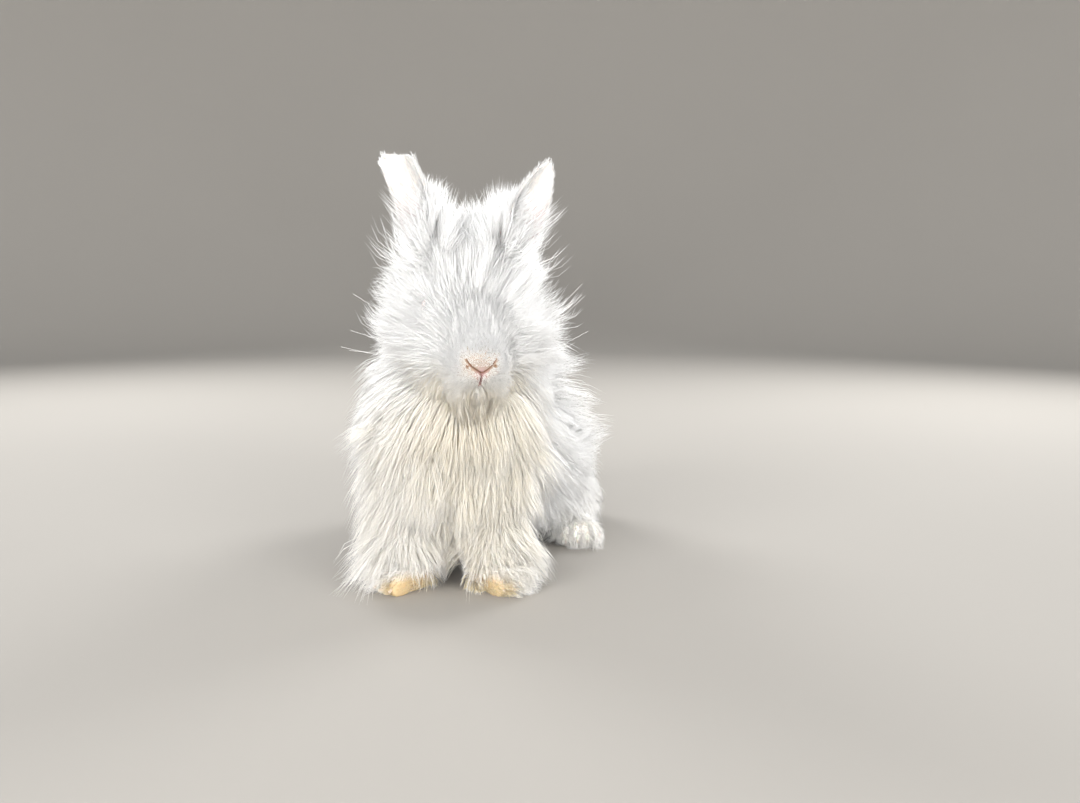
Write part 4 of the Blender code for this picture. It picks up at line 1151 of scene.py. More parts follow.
def grow_wool(
    name, where, triangles, seed, stations=LONG, lock=40, width=1.0, gather=1.0, under=False
):
    """One piece of the coat, or of the down under it, on the skin where where(roots) is above 0."""
    state, settings = Build.state, bpy.context.scene.rabbit_wool
    places, flesh, outline = state["roots"], state["flesh"], state["outline"]
    chance = np.random.default_rng(settings.seed + seed)
    count = int(triangles * THINNED / (6 * (len(stations) - 1) - 2))
    triangle, roots, uvs = places.draw(where(places), count, chance)
    keep = ~bare(roots)
    triangle, roots, uvs = triangle[keep], roots[keep], uvs[keep]
    ways = flesh.measure(roots)[1]
    length, lies = wool_at(flesh, roots, ways)
    size = len(roots)
    back, up, side = head_places(roots)
    on_head_wool = places.part[triangle] == "head"
    on_face = on_head_wool * smoothstep(back, 4, 20)
    top = smoothstep(up, -1, 5) * (1 - smoothstep(np.abs(side), 6, 12))
    extra = fuller(roots)
    wisp = (chance.random(size) > 0.95) & (not under)
    beard = on_head_wool * beard_at(roots)
    shortest = np.where(on_face > 0, 0.8 - 0.4 * beard, 0.6)
    length *= settings.length * chance.uniform(shortest, 1.08) * np.where(wisp, 1.12, 1.0)
    room = np.maximum(outline.depth(roots, ways) * (1 + 0.15 * on_face) + extra, 1)
    room = room * chance.uniform(0.85, 1.12, size)
    length *= 1 + 0.02 * extra
    length = np.clip(np.where(on_head_wool, 1.25, 1.7) * room, length, 1.3 * length)
    if under:
        length, room = 0.5 * length, 0.55 * room
    steepest = np.where(on_head_wool, 0.95, 0.78)
    hind_foot = np.char.startswith(places.part[triangle], "paw_hind")
    flattest = 0.22 + 0.4 * hind_foot + 0.5 * on_face * (1 - beard) * (1 - 0.6 * top)
    rise = np.clip(room / (RISE * length), flattest, steepest)
    lift = np.degrees(np.arcsin(rise)) + chance.normal(0, 4 + 6 * on_face, size)
    lift = lift + np.where(wisp, 7, 0) + 16 * near_eyes(roots)
    lift += beard * (np.degrees(np.arcsin(np.clip(-ways[:, 2], 0.45, 0.98))) - lift)
    lies = spun(ways, lies, chance.normal(0, 0.17, size) + 0.5 * flow(roots, 5))
    droop = chance.uniform(0.05, 0.25, size)
    paths = strand_paths(roots, ways, lies, length, lift, droop, stations)
    proud = chance.normal(0.0, 1.0, size) + np.where(wisp, chance.uniform(0.5, 2.5, size), 0) + 7 * on_face
    proud += 10 * beard
    paths = trimmed(paths, roots, outline, proud)
    if not under:
        paths = gathered(paths, roots, stations, lock, settings.gather * gather, chance)
        paths = gathered(paths, roots, stations, max(4, lock // 6), settings.gather * gather * 0.5, chance)
    wave = settings.curl / MM * np.minimum(length / 25, 1)
    sides = np.cross(lies, ways)
    phase = chance.random(size) * 2 * math.pi
    for i, station in enumerate(stations):
        drift = 2.6 * flow(roots + 11 * station, 6) * np.minimum(length / 30, 1)
        sway = np.sin(phase + 4.5 * station) * wave + drift
        paths[:, i] += sides * (sway * station)[:, None]
    paths = trimmed(clear_of_flesh(paths, flesh, 0.8), roots, outline, proud + 3)
    widths = settings.width / MM * width * chance.uniform(0.75, 1.2, size)
    widths *= np.where(wisp, 0.6, 1.0)
    # Painted light: the short, flat fur near the nose is painted darker, standing in for the shade that long
    # wool casts on itself, and the wool under the head is painted lighter against the shade that falls
    # there. Wool off the head in front of y = -44 is 0.1 darker.
    painted_light_tone = 0.9 - 0.45 * (1 - smoothstep(back, 1, 7)) * (1 - beard) * on_head_wool
    painted_light_tone = painted_light_tone + 0.1 * on_head_wool * smoothstep(-up, 2, 10) - 0.1 * (roots[:, 1] < -44) * ~on_head_wool
    return finish_wool(name, paths, ways, uvs, roots, widths, stations, chance, painted_light_tone)


def kept_clear(points):
    """Whether places are in the parting between the fore legs, or before a fore paw's stained side."""
    x, y, z = np.moveaxis(points, -1, 0)
    clear = (np.abs(x - PARTING[0]) < PARTING[1] * (1 - z / PARTING[2])) & (y < -40)
    for side in SIDES:
        ahead, left = paw_axes(FORE_SPLAY[side])
        run = points - (*FORE_PAW[side], 0.0)
        inner, along = run @ left * -SIGN[side], run @ ahead
        clear |= (inner > 1) & (inner < 22) & (along > -12) & (along < 22) & (z < 10 - 0.2 * (along + 12))
    return clear


def trimmed(paths, roots, outline, proud):
    """Shortens strands that would end in the parting, or outside the coat's outline by more than proud."""
    shares = np.linspace(0.3, 1.0, 9)
    ends = roots[:, None] + (paths[:, -1] - roots)[:, None] * shares[None, :, None]
    allowed = proud[:, None] + fuller(ends.reshape(-1, 3)).reshape(ends.shape[:2])
    low, high = (np.array(corner) / MM for corner in CAD_BOX)
    boxed = ((ends > low - BOX_SLACK) & (ends < high + BOX_SLACK)).all(axis=2)
    fits = (outline.outside(ends) <= allowed) & boxed & (~kept_clear(ends) | kept_clear(roots)[:, None])
    best = shares[np.where(fits.any(axis=1), len(shares) - 1 - fits[:, ::-1].argmax(axis=1), 0)]
    return roots[:, None] + (paths - roots[:, None]) * best[:, None, None]


def ear_wool(name, triangles, seed):
    """The velvet and the fringe of both ears."""
    state, settings = Build.state, bpy.context.scene.rabbit_wool
    places = state["roots"]
    chance = np.random.default_rng(settings.seed + seed)
    count = int(triangles * THINNED / (6 * (len(LONG) - 1) - 2))
    weight = np.zeros(len(places.area))
    for i, ear in enumerate(state["ears"]):
        t, share, out = ear.places(places.middle)
        inner = share * ear.inward
        edge = smoothstep(np.abs(share), 0.72, 0.95)
        cup = 0.05 + 0.9 * smoothstep(inner, 0.1, 0.6) + 1.1 * smoothstep(t, 0.5, 0.75)
        cup = cup + 2.5 * (1 - smoothstep(t, 0.25, 0.45)) * smoothstep(inner, -0.5, 0.0)
        tufts = edge * smoothstep(inner, 0.2, 0.8) * (1 - smoothstep(t, 0.5, 0.75))
        grows = np.where(out > 0, 1.0, cup) + edge + 9 * tufts
        weight = np.where(places.ear == i + 1, grows, weight)
    triangle, roots, uvs = places.draw(weight, count, chance)
    size = len(roots)
    ways = places.way[triangle]
    length, lift, lies = np.zeros(size), np.zeros(size), np.zeros((size, 3))
    for i, ear in enumerate(state["ears"]):
        own = places.ear[triangle] == i + 1
        t, share, out = ear.places(roots[own])
        inner = share * ear.inward
        edge = smoothstep(np.abs(share), 0.78, 0.98)
        low = 1 - smoothstep(t, 0.22, 0.6)
        inside = (out < 0) * smoothstep(inner, 0.3, 0.75) * (1 - smoothstep(t, 0.5, 0.8))
        fringe = np.where(inner > 0, 16 - 14 * smoothstep(t, 0.4, 0.75), 1.4)
        tip = smoothstep(t, 0.88, 0.97)
        rooted = (out < 0) * (1 - smoothstep(t, 0.25, 0.5)) * smoothstep(inner, -0.5, 0.0)
        most = 2.6 + np.where(inner > -0.3, 12, 4) * low + edge * fringe
        length[own] = most + 5 * inside - tip * 0.8 + 9 * rooted
        most = 14 + np.where(inner > -0.3, 24, 6) * low + 16 * edge * (inner > 0)
        lift[own] = most + 14 * inside + 18 * rooted
        toward = ear.across * ear.inward
        spread = (0.5 + 1.3 * (1 - smoothstep(t, 0.45, 0.8))) * edge * (inner > 0)
        lies[own] = ear.axis + toward * (spread - 0.2 * edge * (inner < 0))[:, None]
    length *= settings.length * chance.uniform(0.7, 1.15, size)
    lies = spun(ways, lies, chance.normal(0, 0.2, size))
    lift = lift + chance.normal(0, 6, size)
    paths = strand_paths(roots, ways, lies, length, lift, chance.uniform(0, 0.15, size), LONG)
    paths = gathered(paths, roots, LONG, 16, settings.gather * 0.8, chance)
    widths = settings.width / MM * 0.8 * chance.uniform(0.7, 1.2, size)
    # Painted shade: the ears' short velvet is painted darker than their long fringe, standing in for the
    # shade that long wool casts on itself.
    painted_light_tone = 0.15 + 0.6 * smoothstep(length, 4, 14)
    return finish_wool(name, paths, ways, uvs, roots, widths, LONG, chance, painted_light_tone)


def add_node(tree, kind, inputs=None, **settings):
    """One node with its settings; an input is given as its value or as the socket that feeds it."""
    made = tree.nodes.new(kind)
    for key, value in settings.items():
        setattr(made, key, value)
    for key, value in (inputs or {}).items():
        socket = made.inputs[key]
        if isinstance(value, bpy.types.NodeSocket):
            tree.links.new(value, socket)
        else:
            socket.default_value = (*value, 1) if socket.type == "RGBA" else value
    return made


def new_material(name):
    """An empty material and its tree."""
    made = bpy.data.materials.new(name)
    made.use_nodes = True
    made.node_tree.nodes.clear()
    return made, made.node_tree


# A mix node's sockets for colours
SHARE, UNDER, OVER, MIXED = 0, 6, 7, 2


def marked(tree, base, colours, names):
    """The base colour with the named colours laid over it where the piece carries those marks."""
    for name in names:
        mark = add_node(tree, "ShaderNodeAttribute", attribute_name=name).outputs["Fac"]
        layers = {SHARE: mark, UNDER: base, OVER: getattr(colours, name)}
        base = add_node(tree, "ShaderNodeMix", layers, data_type="RGBA").outputs[MIXED]
    return base


def wool_material():
    """Angora wool: very fine hollow hairs, so bright, soft and faintly silky. Its colour is multiplied by
    each strand's tone, which carries painted light and shade.
    """
    made = bpy.data.materials.get("angora wool")
    if made:
        return made
    made, tree = new_material("angora wool")
    colours = bpy.context.scene.rabbit_colours
    # Painted light: the shade attribute darkens or lightens each strand according to where light falls on
    # it.
    shade = add_node(tree, "ShaderNodeAttribute", attribute_name="shade").outputs["Fac"]
    painted_light_tone = {"Value": shade, "To Min": 0.35, "To Max": 1.0}
    painted_light_tone = add_node(tree, "ShaderNodeMapRange", painted_light_tone).outputs["Result"]
    grey = add_node(tree, "ShaderNodeCombineColor", {"Red": painted_light_tone, "Green": painted_light_tone, "Blue": painted_light_tone})
    base = marked(tree, colours.wool, colours, ("cream", "stain_and_painted_shade"))
    layers = {SHARE: 1.0, UNDER: base, OVER: grey.outputs["Color"]}
    base = add_node(tree, "ShaderNodeMix", layers, data_type="RGBA", blend_type="MULTIPLY").outputs[MIXED]
    look = {
        "Base Color": base,
        "Roughness": 0.6,
        "IOR": 1.55,
        "Specular IOR Level": 0.3,
        "Sheen Weight": 0.25,
        "Sheen Roughness": 0.5,
        "Subsurface Weight": 1.0,
        "Subsurface Radius": (1.0, 1.0, 1.0),
        "Subsurface Scale": 0.002,
    }
    shader = add_node(tree, "ShaderNodeBsdfPrincipled", look)
    add_node(tree, "ShaderNodeOutputMaterial", {"Surface": shader.outputs["BSDF"]})
    return made


def hide_material():
    """Downy hide: matt and pale under the wool, thin and pink where it is bare, and darker where the fur is
    short, partly hide showing through and partly painted shade.
    """
    made, tree = new_material("downy hide")
    colours = bpy.context.scene.rabbit_colours
    place = add_node(tree, "ShaderNodeTexCoord").outputs["Object"]
    thin, ear = (
        add_node(tree, "ShaderNodeAttribute", attribute_name=name).outputs["Fac"]
        for name in ("thin", "ear")
    )
    veins, grain = (
        add_node(tree, "ShaderNodeTexNoise", {"Vector": place, "Scale": size, "Detail": fine}).outputs["Fac"]
        for size, fine in ((260.0, 3.0), (1400.0, 2.0))
    )
    flushed = [c * f for c, f in zip(colours.ear, (0.98, 0.78, 0.78))]
    # Painted shade: the darker hide fills the short-furred parts by the thin mask.
    shown = {"Value": thin, "To Min": 0.1, "To Max": 1.0}
    shown = add_node(tree, "ShaderNodeMapRange", shown).outputs["Result"]
    veined = {SHARE: veins, UNDER: colours.ear, OVER: flushed}
    veined = add_node(tree, "ShaderNodeMix", veined, data_type="RGBA").outputs[MIXED]
    base = marked(tree, colours.wool, colours, ("cream", "stain_and_painted_shade"))
    for share, over in ((shown, colours.hide), (ear, veined)):
        layers = {SHARE: share, UNDER: base, OVER: over}
        base = add_node(tree, "ShaderNodeMix", layers, data_type="RGBA").outputs[MIXED]
    bump = add_node(tree, "ShaderNodeBump", {"Height": grain, "Strength": 0.25, "Distance": 0.0003})
    look = {
        "Base Color": marked(tree, base, colours, ("nose", "lip", "line")),
        "Normal": bump.outputs["Normal"],
        "Roughness": 0.75,
        "IOR": 1.4,
        "Specular IOR Level": 0.25,
        "Subsurface Weight": 0.15,
        "Subsurface Scale": 0.002,
    }
    shader = add_node(tree, "ShaderNodeBsdfPrincipled", look)
    add_node(tree, "ShaderNodeOutputMaterial", {"Surface": shader.outputs["BSDF"]})
    return made


def eye_material():
    """A wet eyeball: blue-grey iris with fine spokes, a dark pupil and a clear glossy cornea."""
    made, tree = new_material("wet cornea over iris")
    colour = bpy.context.scene.rabbit_colours.iris
    across, turn = (
        add_node(tree, "ShaderNodeAttribute", attribute_name=name).outputs["Fac"]
        for name in ("across", "turn")
    )
    fine = {"W": turn, "Scale": 26.0, "Detail": 2.0}
    spokes = add_node(tree, "ShaderNodeTexNoise", fine, noise_dimensions="1D").outputs["Fac"]
    layers = {SHARE: spokes, UNDER: [c * 0.35 for c in colour], OVER: [min(1, c * 1.5) for c in colour]}
    iris = add_node(tree, "ShaderNodeMix", layers, data_type="RGBA").outputs[MIXED]
    base = (0.004, 0.004, 0.005)
    rings = (
        (0.30, 0.36, iris),
        (0.66, 0.78, [c * 0.12 for c in colour]),
        (0.84, 0.92, linear("#D9C3BC")),
    )
    for low, high, over in rings:
        edge = {"Value": across, "From Min": low, "From Max": high}
        edge = add_node(tree, "ShaderNodeMapRange", edge, interpolation_type="SMOOTHSTEP").outputs["Result"]
        layers = {SHARE: edge, UNDER: base, OVER: over}
        base = add_node(tree, "ShaderNodeMix", layers, data_type="RGBA").outputs[MIXED]
    look = {
        "Base Color": base,
        "Roughness": 0.12,
        "IOR": 1.376,
        "Coat Weight": 1.0,
        "Coat Roughness": 0.02,
        "Coat IOR": 1.38,
    }
    shader = add_node(tree, "ShaderNodeBsdfPrincipled", look)
    add_node(tree, "ShaderNodeOutputMaterial", {"Surface": shader.outputs["BSDF"]})
    return made


def plain_material(name, colour, roughness, scale, variation):
    """A plain matt or horny finish with a faint grain of a real size."""
    made, tree = new_material(name)
    place = add_node(tree, "ShaderNodeTexCoord").outputs["Object"]
    grain = {"Vector": place, "Scale": scale, "Detail": 2.0}
    grain = add_node(tree, "ShaderNodeTexNoise", grain).outputs["Fac"]
    layers = {SHARE: grain, UNDER: [c * (1 - variation) for c in colour], OVER: colour}
    base = add_node(tree, "ShaderNodeMix", layers, data_type="RGBA").outputs[MIXED]
    look = {"Base Color": base, "Roughness": roughness, "IOR": 1.54}
    shader = add_node(tree, "ShaderNodeBsdfPrincipled", look)
    add_node(tree, "ShaderNodeOutputMaterial", {"Surface": shader.outputs["BSDF"]})
    return made


def taper_tree(finish):
    """Nodes that set a bent taper on each point of a mesh, along its way and as long as its reach."""
    tree = bpy.data.node_groups.new("bent tapers", "GeometryNodeTree")
    sockets = {}
    wanted = (("Length", 0.05), ("Thickness", 0.0004), ("Bend", 0.2), ("Blunt", 0.1))
    tree.interface.new_socket("Geometry", in_out="INPUT", socket_type="NodeSocketGeometry")
    for name, value in wanted:
        socket = tree.interface.new_socket(name, in_out="INPUT", socket_type="NodeSocketFloat")
        socket.default_value = value
        sockets[name] = socket.identifier
    tree.interface.new_socket("Seed", in_out="INPUT", socket_type="NodeSocketInt")
    tree.interface.new_socket("Geometry", in_out="OUTPUT", socket_type="NodeSocketGeometry")
    start = add_node(tree, "NodeGroupInput").outputs
    half, out, radius = (
        add_node(tree, "ShaderNodeMath", {0: start[name], 1: by}, operation="MULTIPLY").outputs["Value"]
        for name, by in (("Length", 0.55), ("Length", start["Bend"]), ("Thickness", 0.5))
    )
    middle = add_node(tree, "ShaderNodeCombineXYZ", {"Z": half}).outputs["Vector"]
    end = add_node(tree, "ShaderNodeCombineXYZ", {"Y": out, "Z": start["Length"]}).outputs["Vector"]
    bow = {"Resolution": 9, "Start": (0, 0, 0), "Middle": middle, "End": end}
    bow = add_node(tree, "GeometryNodeCurveQuadraticBezier", bow).outputs["Curve"]
    along = add_node(tree, "GeometryNodeSplineParameter").outputs["Factor"]
    taper = {"Value": along, "To Min": 1.0, "To Max": start["Blunt"]}
    taper = add_node(tree, "ShaderNodeMapRange", taper).outputs["Result"]
    shaped = add_node(tree, "GeometryNodeSetCurveRadius", {"Curve": bow, "Radius": taper}).outputs["Curve"]
    ring = {"Resolution": 6, "Radius": radius}
    ring = add_node(tree, "GeometryNodeCurvePrimitiveCircle", ring).outputs["Curve"]
    solid = {"Fill Caps": True, "Curve": shaped, "Profile Curve": ring}
    solid = add_node(tree, "GeometryNodeCurveToMesh", solid).outputs["Mesh"]
    way, reach = (
        add_node(tree, "GeometryNodeInputNamedAttribute", {"Name": name}, data_type=kind).outputs[0]
        for name, kind in (("way", "FLOAT_VECTOR"), ("reach", "FLOAT"))
    )
    upright = add_node(tree, "FunctionNodeAlignRotationToVector", {"Vector": way}, axis="Z")
    vary = {"Min": 0.9, "Max": 1.1, "Seed": start["Seed"]}
    vary = add_node(tree, "FunctionNodeRandomValue", vary, data_type="FLOAT")
    chance = next(o for o in vary.outputs if o.type == "VALUE" and o.enabled)
    scale = add_node(tree, "ShaderNodeMath", {0: reach, 1: chance}, operation="MULTIPLY").outputs["Value"]
    copies = {"Points": start["Geometry"], "Instance": solid, "Rotation": upright.outputs[0], "Scale": scale}
    copies = add_node(tree, "GeometryNodeInstanceOnPoints", copies).outputs["Instances"]
    real = add_node(tree, "GeometryNodeRealizeInstances", {"Geometry": copies}).outputs["Geometry"]
    dressed = {"Geometry": real, "Material": finish}
    dressed = add_node(tree, "GeometryNodeSetMaterial", dressed).outputs["Geometry"]
    add_node(tree, "NodeGroupOutput", {"Geometry": dressed})
    return tree, sockets


def set_tapers(name, roots, ways, reaches, finish, shape):
    """Whiskers or claws: one bent taper for each root."""
    made = piece_from(name, roots, [])
    way = made.data.attributes.new("way", "FLOAT_VECTOR", "POINT")
    way.data.foreach_set("vector", np.asarray(ways, np.float32).ravel())
    store(made.data, "reach", reaches)
    tree, sockets = taper_tree(finish)
    step = made.modifiers.new("tapers", "NODES")
    step.node_group = tree
    for key, value in shape.items():
        step[sockets[key]] = value
    evaluated(made)
    smooth(made.data)
    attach(made, "root")
    return made


# Faces of an eyeball, and the bulge of its cornea by angles from its look in radians
EYE_SEGMENTS, EYE_RINGS = 48, 32
CORNEA_RISE, CORNEA_REACH = 0.045, 0.55
# The scale on which the eye's rings are given
IRIS_SHARE = 1.25


class Build:
    """What the operators pass on to one another."""

    state = {}


class RabbitOperator:
    """What the operators share: a rabbit has to be begun before anything is set on it."""

    bl_options = {"REGISTER", "UNDO"}

    def skin(self):
        """The skin that the other pieces are set on."""
        if "skin" not in Build.state:
            raise RuntimeError("Add the skin first")
        return Build.state["skin"]


class RABBIT_OT_skin(RabbitOperator, bpy.types.Operator):
    """Adds the one skin of the body, face and ears"""

    bl_idname = "rabbit.skin"
    bl_label = "Skin"

    def execute(self, context):
        flesh, ears = Flesh(), [Ear(side) for side in SIDES]
        skin = make_skin(flesh, ears, context.scene.rabbit_skin)
        unwrap(skin)
        paint_skin(skin, ears)
        skin.data.materials.clear()
        skin.data.materials.append(hide_material())
        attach(skin, "root")
        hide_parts(*FLESH_NODES)
        Build.state = {"skin": skin, "flesh": flesh, "ears": ears, "roots": Roots(skin, flesh, ears)}
        Build.state["outline"] = Outline()
        return {"FINISHED"}


class RABBIT_OT_eyes(RabbitOperator, bpy.types.Operator):
    """Adds the eyeballs"""

    bl_idname = "rabbit.eyes"
    bl_label = "Eyes"

    def execute(self, context):
        finish = eye_material()
        for side in SIDES:
            look, along, _ = eye_frame(side)
            work = bmesh.new()
            bmesh.ops.create_uvsphere(work, u_segments=EYE_SEGMENTS, v_segments=EYE_RINGS, radius=1)
            points = np.array([tuple(v.co) for v in work.verts])
            faces = [tuple(v.index for v in face.verts) for face in work.faces]
            work.free()
            tilt = np.arccos(np.clip(points[:, 2], -1, 1))
            bulge = 1 + CORNEA_RISE * np.exp(-((tilt / CORNEA_REACH) ** 2))
            axes = np.stack((along, np.cross(look, along), look))
            placed = EYE_CENTRE[side] + (points * bulge[:, None] * EYE_RADIUS) @ axes
            made = outward(piece_from(f"eyeball_{side}", placed, faces))
            store(made.data, "across", tilt / (math.pi / 2) * IRIS_SHARE)
            store(made.data, "turn", np.arctan2(points[:, 1], points[:, 0]) / math.pi)
            smooth(made.data)
            made.data.materials.append(finish)
            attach(made, "root")
            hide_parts(f"eye_{side}")
        return {"FINISHED"}


class RABBIT_OT_claws(RabbitOperator, bpy.types.Operator):
    """Adds a claw on each toe"""

    bl_idname = "rabbit.claws"
    bl_label = "Claws"

    def execute(self, context):
        colours, settings = context.scene.rabbit_colours, context.scene.rabbit_skin
        roots, ways = [], []
        for place, splay, size in paws():
            height = size[2]
            for centre, way in toes(place, splay, size):
                roots.append(centre + way * height * 0.33 + (0, 0, 0.2))
                ways.append(unit(way + DOWN * 0.3))
        finish = plain_material("claw horn", colours.claw, 0.35, 900.0, 0.12)
        shape = {"Length": settings.claw, "Thickness": 0.0012, "Bend": -0.15, "Blunt": 0.15}
        set_tapers("claws", roots, ways, np.ones(len(roots)), finish, shape)
        return {"FINISHED"}


class RABBIT_OT_whiskers(RabbitOperator, bpy.types.Operator):
    """Adds the whiskers and the long hairs of the brows"""

    bl_idname = "rabbit.whiskers"
    bl_label = "Whiskers"

    def execute(self, context):
        chance = np.random.default_rng(context.scene.rabbit_wool.seed)
        flesh = Build.state["flesh"]
        roots, ways, reaches = [], [], []
        for sign in (-1.0, 1.0):
            for row in range(3):
                for k in range(3):
                    roots.append(on_head(9 + 3.4 * k, 1.5 - 2.6 * row, sign * 12))
                    tilt = np.array(-FORWARD * (0.2 + 0.25 * k) + UP * (0.45 - 0.3 * row) + LEFT * sign)
                    ways.append(unit(tilt + chance.normal(0, 0.09, 3)))
                    reaches.append(0.66 + 0.17 * k + chance.uniform(-0.1, 0.1))
            for k in range(2):
                roots.append(on_head(29 + 3 * k, 24, sign * (13 - k)))
                ways.append(unit(LEFT * sign * 0.8 + UP * (0.7 + 0.1 * k) + FORWARD * 0.2))
                reaches.append(0.5 + 0.1 * k)
        roots = settle(np.array(roots), flesh)
        finish = plain_material("whisker hair", context.scene.rabbit_colours.wool, 0.4, 400.0, 0.1)
        length = context.scene.rabbit_skin.whisker
        shape = {"Length": length, "Thickness": 0.00008, "Bend": -0.45, "Blunt": 0.4}
        set_tapers("whiskers", roots, ways, reaches, finish, shape)
        return {"FINISHED"}


def on(*names):
    """Picks the skin of the named forms, apart from the ears."""
    return lambda places: np.isin(places.part, names) * (places.ear == 0)


def face_side(places):
    """The face, denser towards the nose and in the beard."""
    back = head_places(places.middle)[0]
    density = 1.0 + 1.2 * (1 - smoothstep(back, 8, 20)) + 1.2 * beard_at(places.middle)
    return on("head")(places) * (back < 27) * density


def crown_side(places):
    """The cheeks, brow, crown and nape, denser between the ears."""
    back, up, side = head_places(places.middle)
    between = (np.abs(side) < 13) & (up > 14) & (back < 56)
    return on("head")(places) * (back >= 27) * (1 + between)


def front_side(places):
    """The bib and the chest."""
    y = places.middle[:, 1]
    return on("neck")(places) * (y < -38) | on("torso")(places) * (y < -44)


def barrel(low, high, sign=0):
    """A stretch of the torso and nape, by how much its skin faces up, and by side."""

    def where(places):
        up = places.way[:, 2]
        chosen = (up >= low) & (up < high) & (places.middle[:, 1] >= -44) & (places.middle[:, 1] < 50)
        if sign:
            chosen &= (places.middle[:, 0] + 4) * sign > 0
        return chosen * np.maximum(on("torso")(places), on("neck")(places) * (places.middle[:, 1] >= -38))

    return where


def body_side(places):
    """All of the body and legs that long wool covers."""
    legs = [f"{end}_leg_{side}" for end in ("fore", "hind") for side in SIDES]
    return on("neck", "torso", "tail", *legs)(places)


def rump_side(places):
    """The rump and the tail."""
    return on("torso")(places) * (places.middle[:, 1] >= 50) + on("tail")(places) * 1.5


def feet_side(places):
    """The feet, denser where the hind feet show beyond the haunches."""
    hind = on("paw_hind_left", "paw_hind_right")(places) * (1 + 1.5 * (places.middle[:, 1] < 20))
    return on("paw_fore_left", "paw_fore_right")(places) * 1.8 + hind


class RABBIT_OT_head_wool(RabbitOperator, bpy.types.Operator):
    """Adds the short fur of the face and the long wool of the cheeks and crown"""

    bl_idname = "rabbit.head_wool"
    bl_label = "Head wool"

    def execute(self, context):
        self.skin()
        grow_wool("coat_face", face_side, 180000, 1, SHORT, 24, 0.8, 0.9)
        grow_wool("coat_crown", crown_side, 195000, 2, LONG, 26, 0.95, 0.8)
        grow_wool("down_head", on("head"), 80000, 12, STRAIGHT, width=1.5, under=True)
        return {"FINISHED"}


class RABBIT_OT_ear_wool(RabbitOperator, bpy.types.Operator):
    """Adds the velvet and the fringe of the ears"""

    bl_idname = "rabbit.ear_wool"
    bl_label = "Ear wool"

    def execute(self, context):
        self.skin()
        ear_wool("coat_ears", 110000, 3)
        return {"FINISHED"}


class RABBIT_OT_body_wool(RabbitOperator, bpy.types.Operator):
    """Adds the long wool of the bib, back, flanks and rump"""

    bl_idname = "rabbit.body_wool"
    bl_label = "Body wool"

    def execute(self, context):
        self.skin()
        grow_wool("coat_bib", front_side, 190000, 4, LONG, 60, 1.3, 0.65)
        grow_wool("coat_back", barrel(0.45, 2.0), 100000, 5)
        grow_wool("coat_flank_right", barrel(-2.0, 0.45, -1), 100000, 6)
        grow_wool("coat_flank_left", barrel(-2.0, 0.45, 1), 100000, 7)
        grow_wool("coat_rump", rump_side, 110000, 8)
        grow_wool("down_body", body_side, 130000, 13, STRAIGHT, width=1.6, under=True)
        return {"FINISHED"}


class RABBIT_OT_leg_wool(RabbitOperator, bpy.types.Operator):
    """Adds the wool of the legs and the short fur of the feet"""

    bl_idname = "rabbit.leg_wool"
    bl_label = "Leg wool"

    def execute(self, context):
        self.skin()
        grow_wool("coat_cuffs", on("fore_leg_left", "fore_leg_right"), 110000, 9, LONG, 30, 0.95)
        grow_wool("coat_haunches", on("hind_leg_left", "hind_leg_right"), 100000, 10)
        grow_wool("coat_feet", feet_side, 130000, 11, SHORT, 12, 0.8, 0.3)
        return {"FINISHED"}


def aim(made, place, target):
    """Puts a light or the camera at a place and turns it to a target."""
    made.location = place
    made.rotation_euler = (Vector(target) - Vector(place)).to_track_quat("-Z", "Y").to_euler()
    bpy.context.scene.collection.objects.link(made)


# Faces round the floor, and the camera's place in metres and its dip in degrees
FLOOR_STEPS = 96
CAMERA_PLACE = (0.027, -0.5866, 0.153)
CAMERA_DIP = 7.23


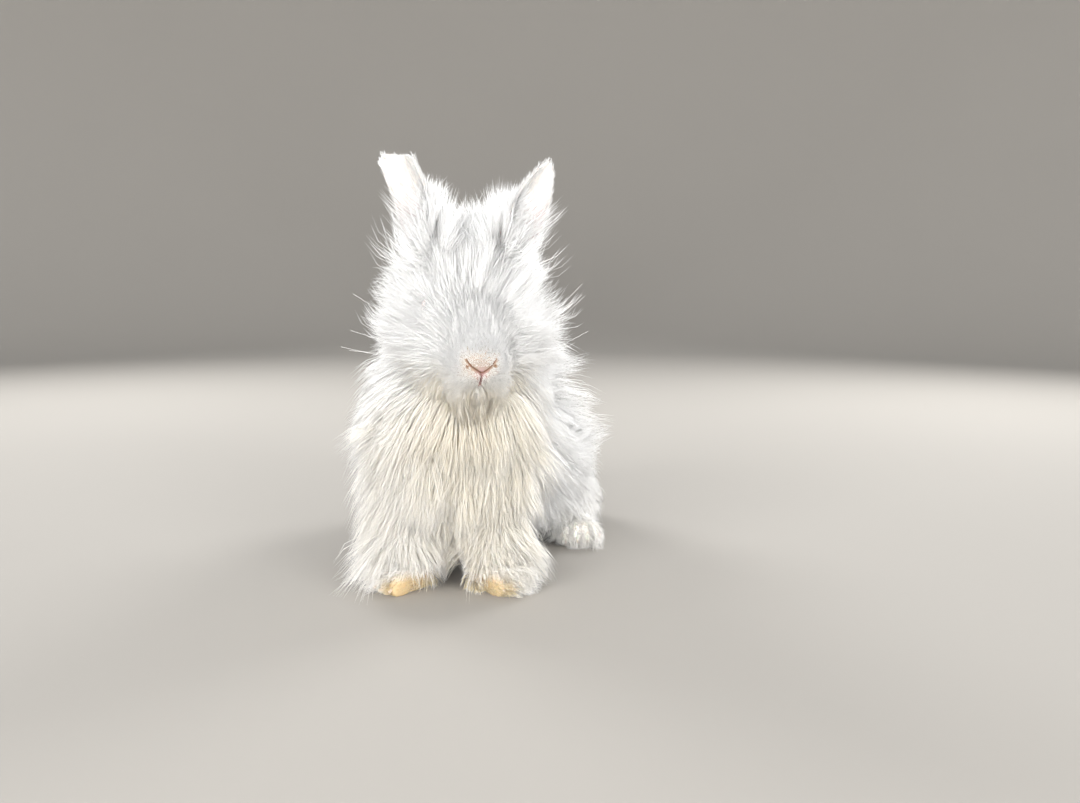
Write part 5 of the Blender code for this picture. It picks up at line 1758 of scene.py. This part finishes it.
class RABBIT_OT_stage(bpy.types.Operator):
    """Adds the floor, the soft light and the camera"""

    bl_idname = "rabbit.stage"
    bl_label = "Stage"

    def execute(self, context):
        settings = context.scene.rabbit_stage
        flat, sweep, wall = 1.3, 0.9, 1.6
        profile = [(0.0, 0.0), (flat / 2, 0.0), (flat, 0.0)]
        for k in range(1, 13):
            angle = math.pi / 2 * k / 12
            profile.append((flat + sweep * math.sin(angle), sweep * (1 - math.cos(angle))))
        profile.append((flat + sweep, wall))
        work = bmesh.new()
        verts = [work.verts.new((x, 0, z)) for x, z in profile]
        edges = [work.edges.new(pair) for pair in zip(verts, verts[1:])]
        around = {"cent": (0, 0, 0), "axis": (0, 0, 1), "angle": 2 * math.pi, "steps": FLOOR_STEPS}
        bmesh.ops.spin(work, geom=verts + edges, use_merge=True, **around)
        bmesh.ops.remove_doubles(work, verts=work.verts, dist=0.0001)
        bmesh.ops.recalc_face_normals(work, faces=work.faces)
        if sum(face.normal.z * face.calc_area() for face in work.faces) < 0:
            bmesh.ops.reverse_faces(work, faces=work.faces)
        mesh = bpy.data.meshes.new("floor")
        work.to_mesh(mesh)
        work.free()
        smooth(mesh)
        floor = bpy.data.objects.new("floor", mesh)
        context.scene.collection.objects.link(floor)
        mesh.materials.append(plain_material("matt paper", settings.floor, 0.9, 4.0, 0.03))
        middle = (0, -0.02, 0.1)
        lights = (
            ("key", (-0.85, -1.4, 0.6), 1.1, settings.key),
            ("fill", (0.9, -1.3, 0.28), 1.0, settings.fill),
            ("front", (0.0, -1.8, 0.12), 0.6, settings.front),
            ("rim_right", (-0.6, 0.75, 0.65), 0.5, settings.rim),
            ("rim_left", (0.65, 0.7, 0.6), 0.5, settings.rim),
        )
        for name, place, size, power in lights:
            light = bpy.data.lights.new(name, "AREA")
            light.shape, light.size, light.energy = "DISK", size, power
            aim(bpy.data.objects.new(name, light), place, middle)
        world = bpy.data.worlds.new("studio")
        world.use_nodes = True
        tree = world.node_tree
        tree.nodes.clear()
        sky = {"Color": (0.95, 0.97, 1.0), "Strength": settings.sky}
        lit = add_node(tree, "ShaderNodeBackground", sky).outputs["Background"]
        add_node(tree, "ShaderNodeOutputWorld", {"Surface": lit})
        context.scene.world = world
        lens = bpy.data.cameras.new("camera")
        lens.lens, lens.sensor_width, lens.clip_start = settings.lens, 36.0, 0.01
        camera = bpy.data.objects.new("camera", lens)
        place, dip = Vector(CAMERA_PLACE), math.radians(CAMERA_DIP)
        aim(camera, place, place + Vector((0, math.cos(dip), -math.sin(dip))))
        context.scene.camera = camera
        context.scene.view_settings.view_transform = "Standard"
        return {"FINISHED"}


OPERATORS = (
    RABBIT_OT_skin,
    RABBIT_OT_eyes,
    RABBIT_OT_claws,
    RABBIT_OT_whiskers,
    RABBIT_OT_head_wool,
    RABBIT_OT_ear_wool,
    RABBIT_OT_body_wool,
    RABBIT_OT_leg_wool,
    RABBIT_OT_stage,
)
SETTINGS = (
    (RabbitColours, "rabbit_colours"),
    (RabbitWool, "rabbit_wool"),
    (RabbitSkin, "rabbit_skin"),
    (RabbitStage, "rabbit_stage"),
)


class RABBIT_PT_panel(bpy.types.Panel):
    """Lists the rabbit's pieces and settings"""

    bl_label = "Angora rabbit"
    bl_idname = "RABBIT_PT_panel"
    bl_space_type = "VIEW_3D"
    bl_region_type = "UI"
    bl_category = "Rabbit"

    def draw(self, context):
        for operator in OPERATORS:
            self.layout.operator(operator.bl_idname)
        for settings, name in SETTINGS:
            box = self.layout.box()
            for key in settings.__annotations__:
                box.prop(getattr(context.scene, name), key)


def register():
    """Registers the settings, operators and panel."""
    for settings, name in SETTINGS:
        bpy.utils.register_class(settings)
        setattr(bpy.types.Scene, name, PointerProperty(type=settings))
    for each in (*OPERATORS, RABBIT_PT_panel):
        bpy.utils.register_class(each)


def unregister():
    """Takes them away again."""
    for each in reversed((*OPERATORS, RABBIT_PT_panel)):
        bpy.utils.unregister_class(each)
    for settings, name in reversed(SETTINGS):
        delattr(bpy.types.Scene, name)
        bpy.utils.unregister_class(settings)


def main():
    """Builds every piece."""
    register()
    for operator in OPERATORS:
        group, name = operator.bl_idname.split(".")
        getattr(getattr(bpy.ops, group), name)()


if __name__ == "__main__":
    main()
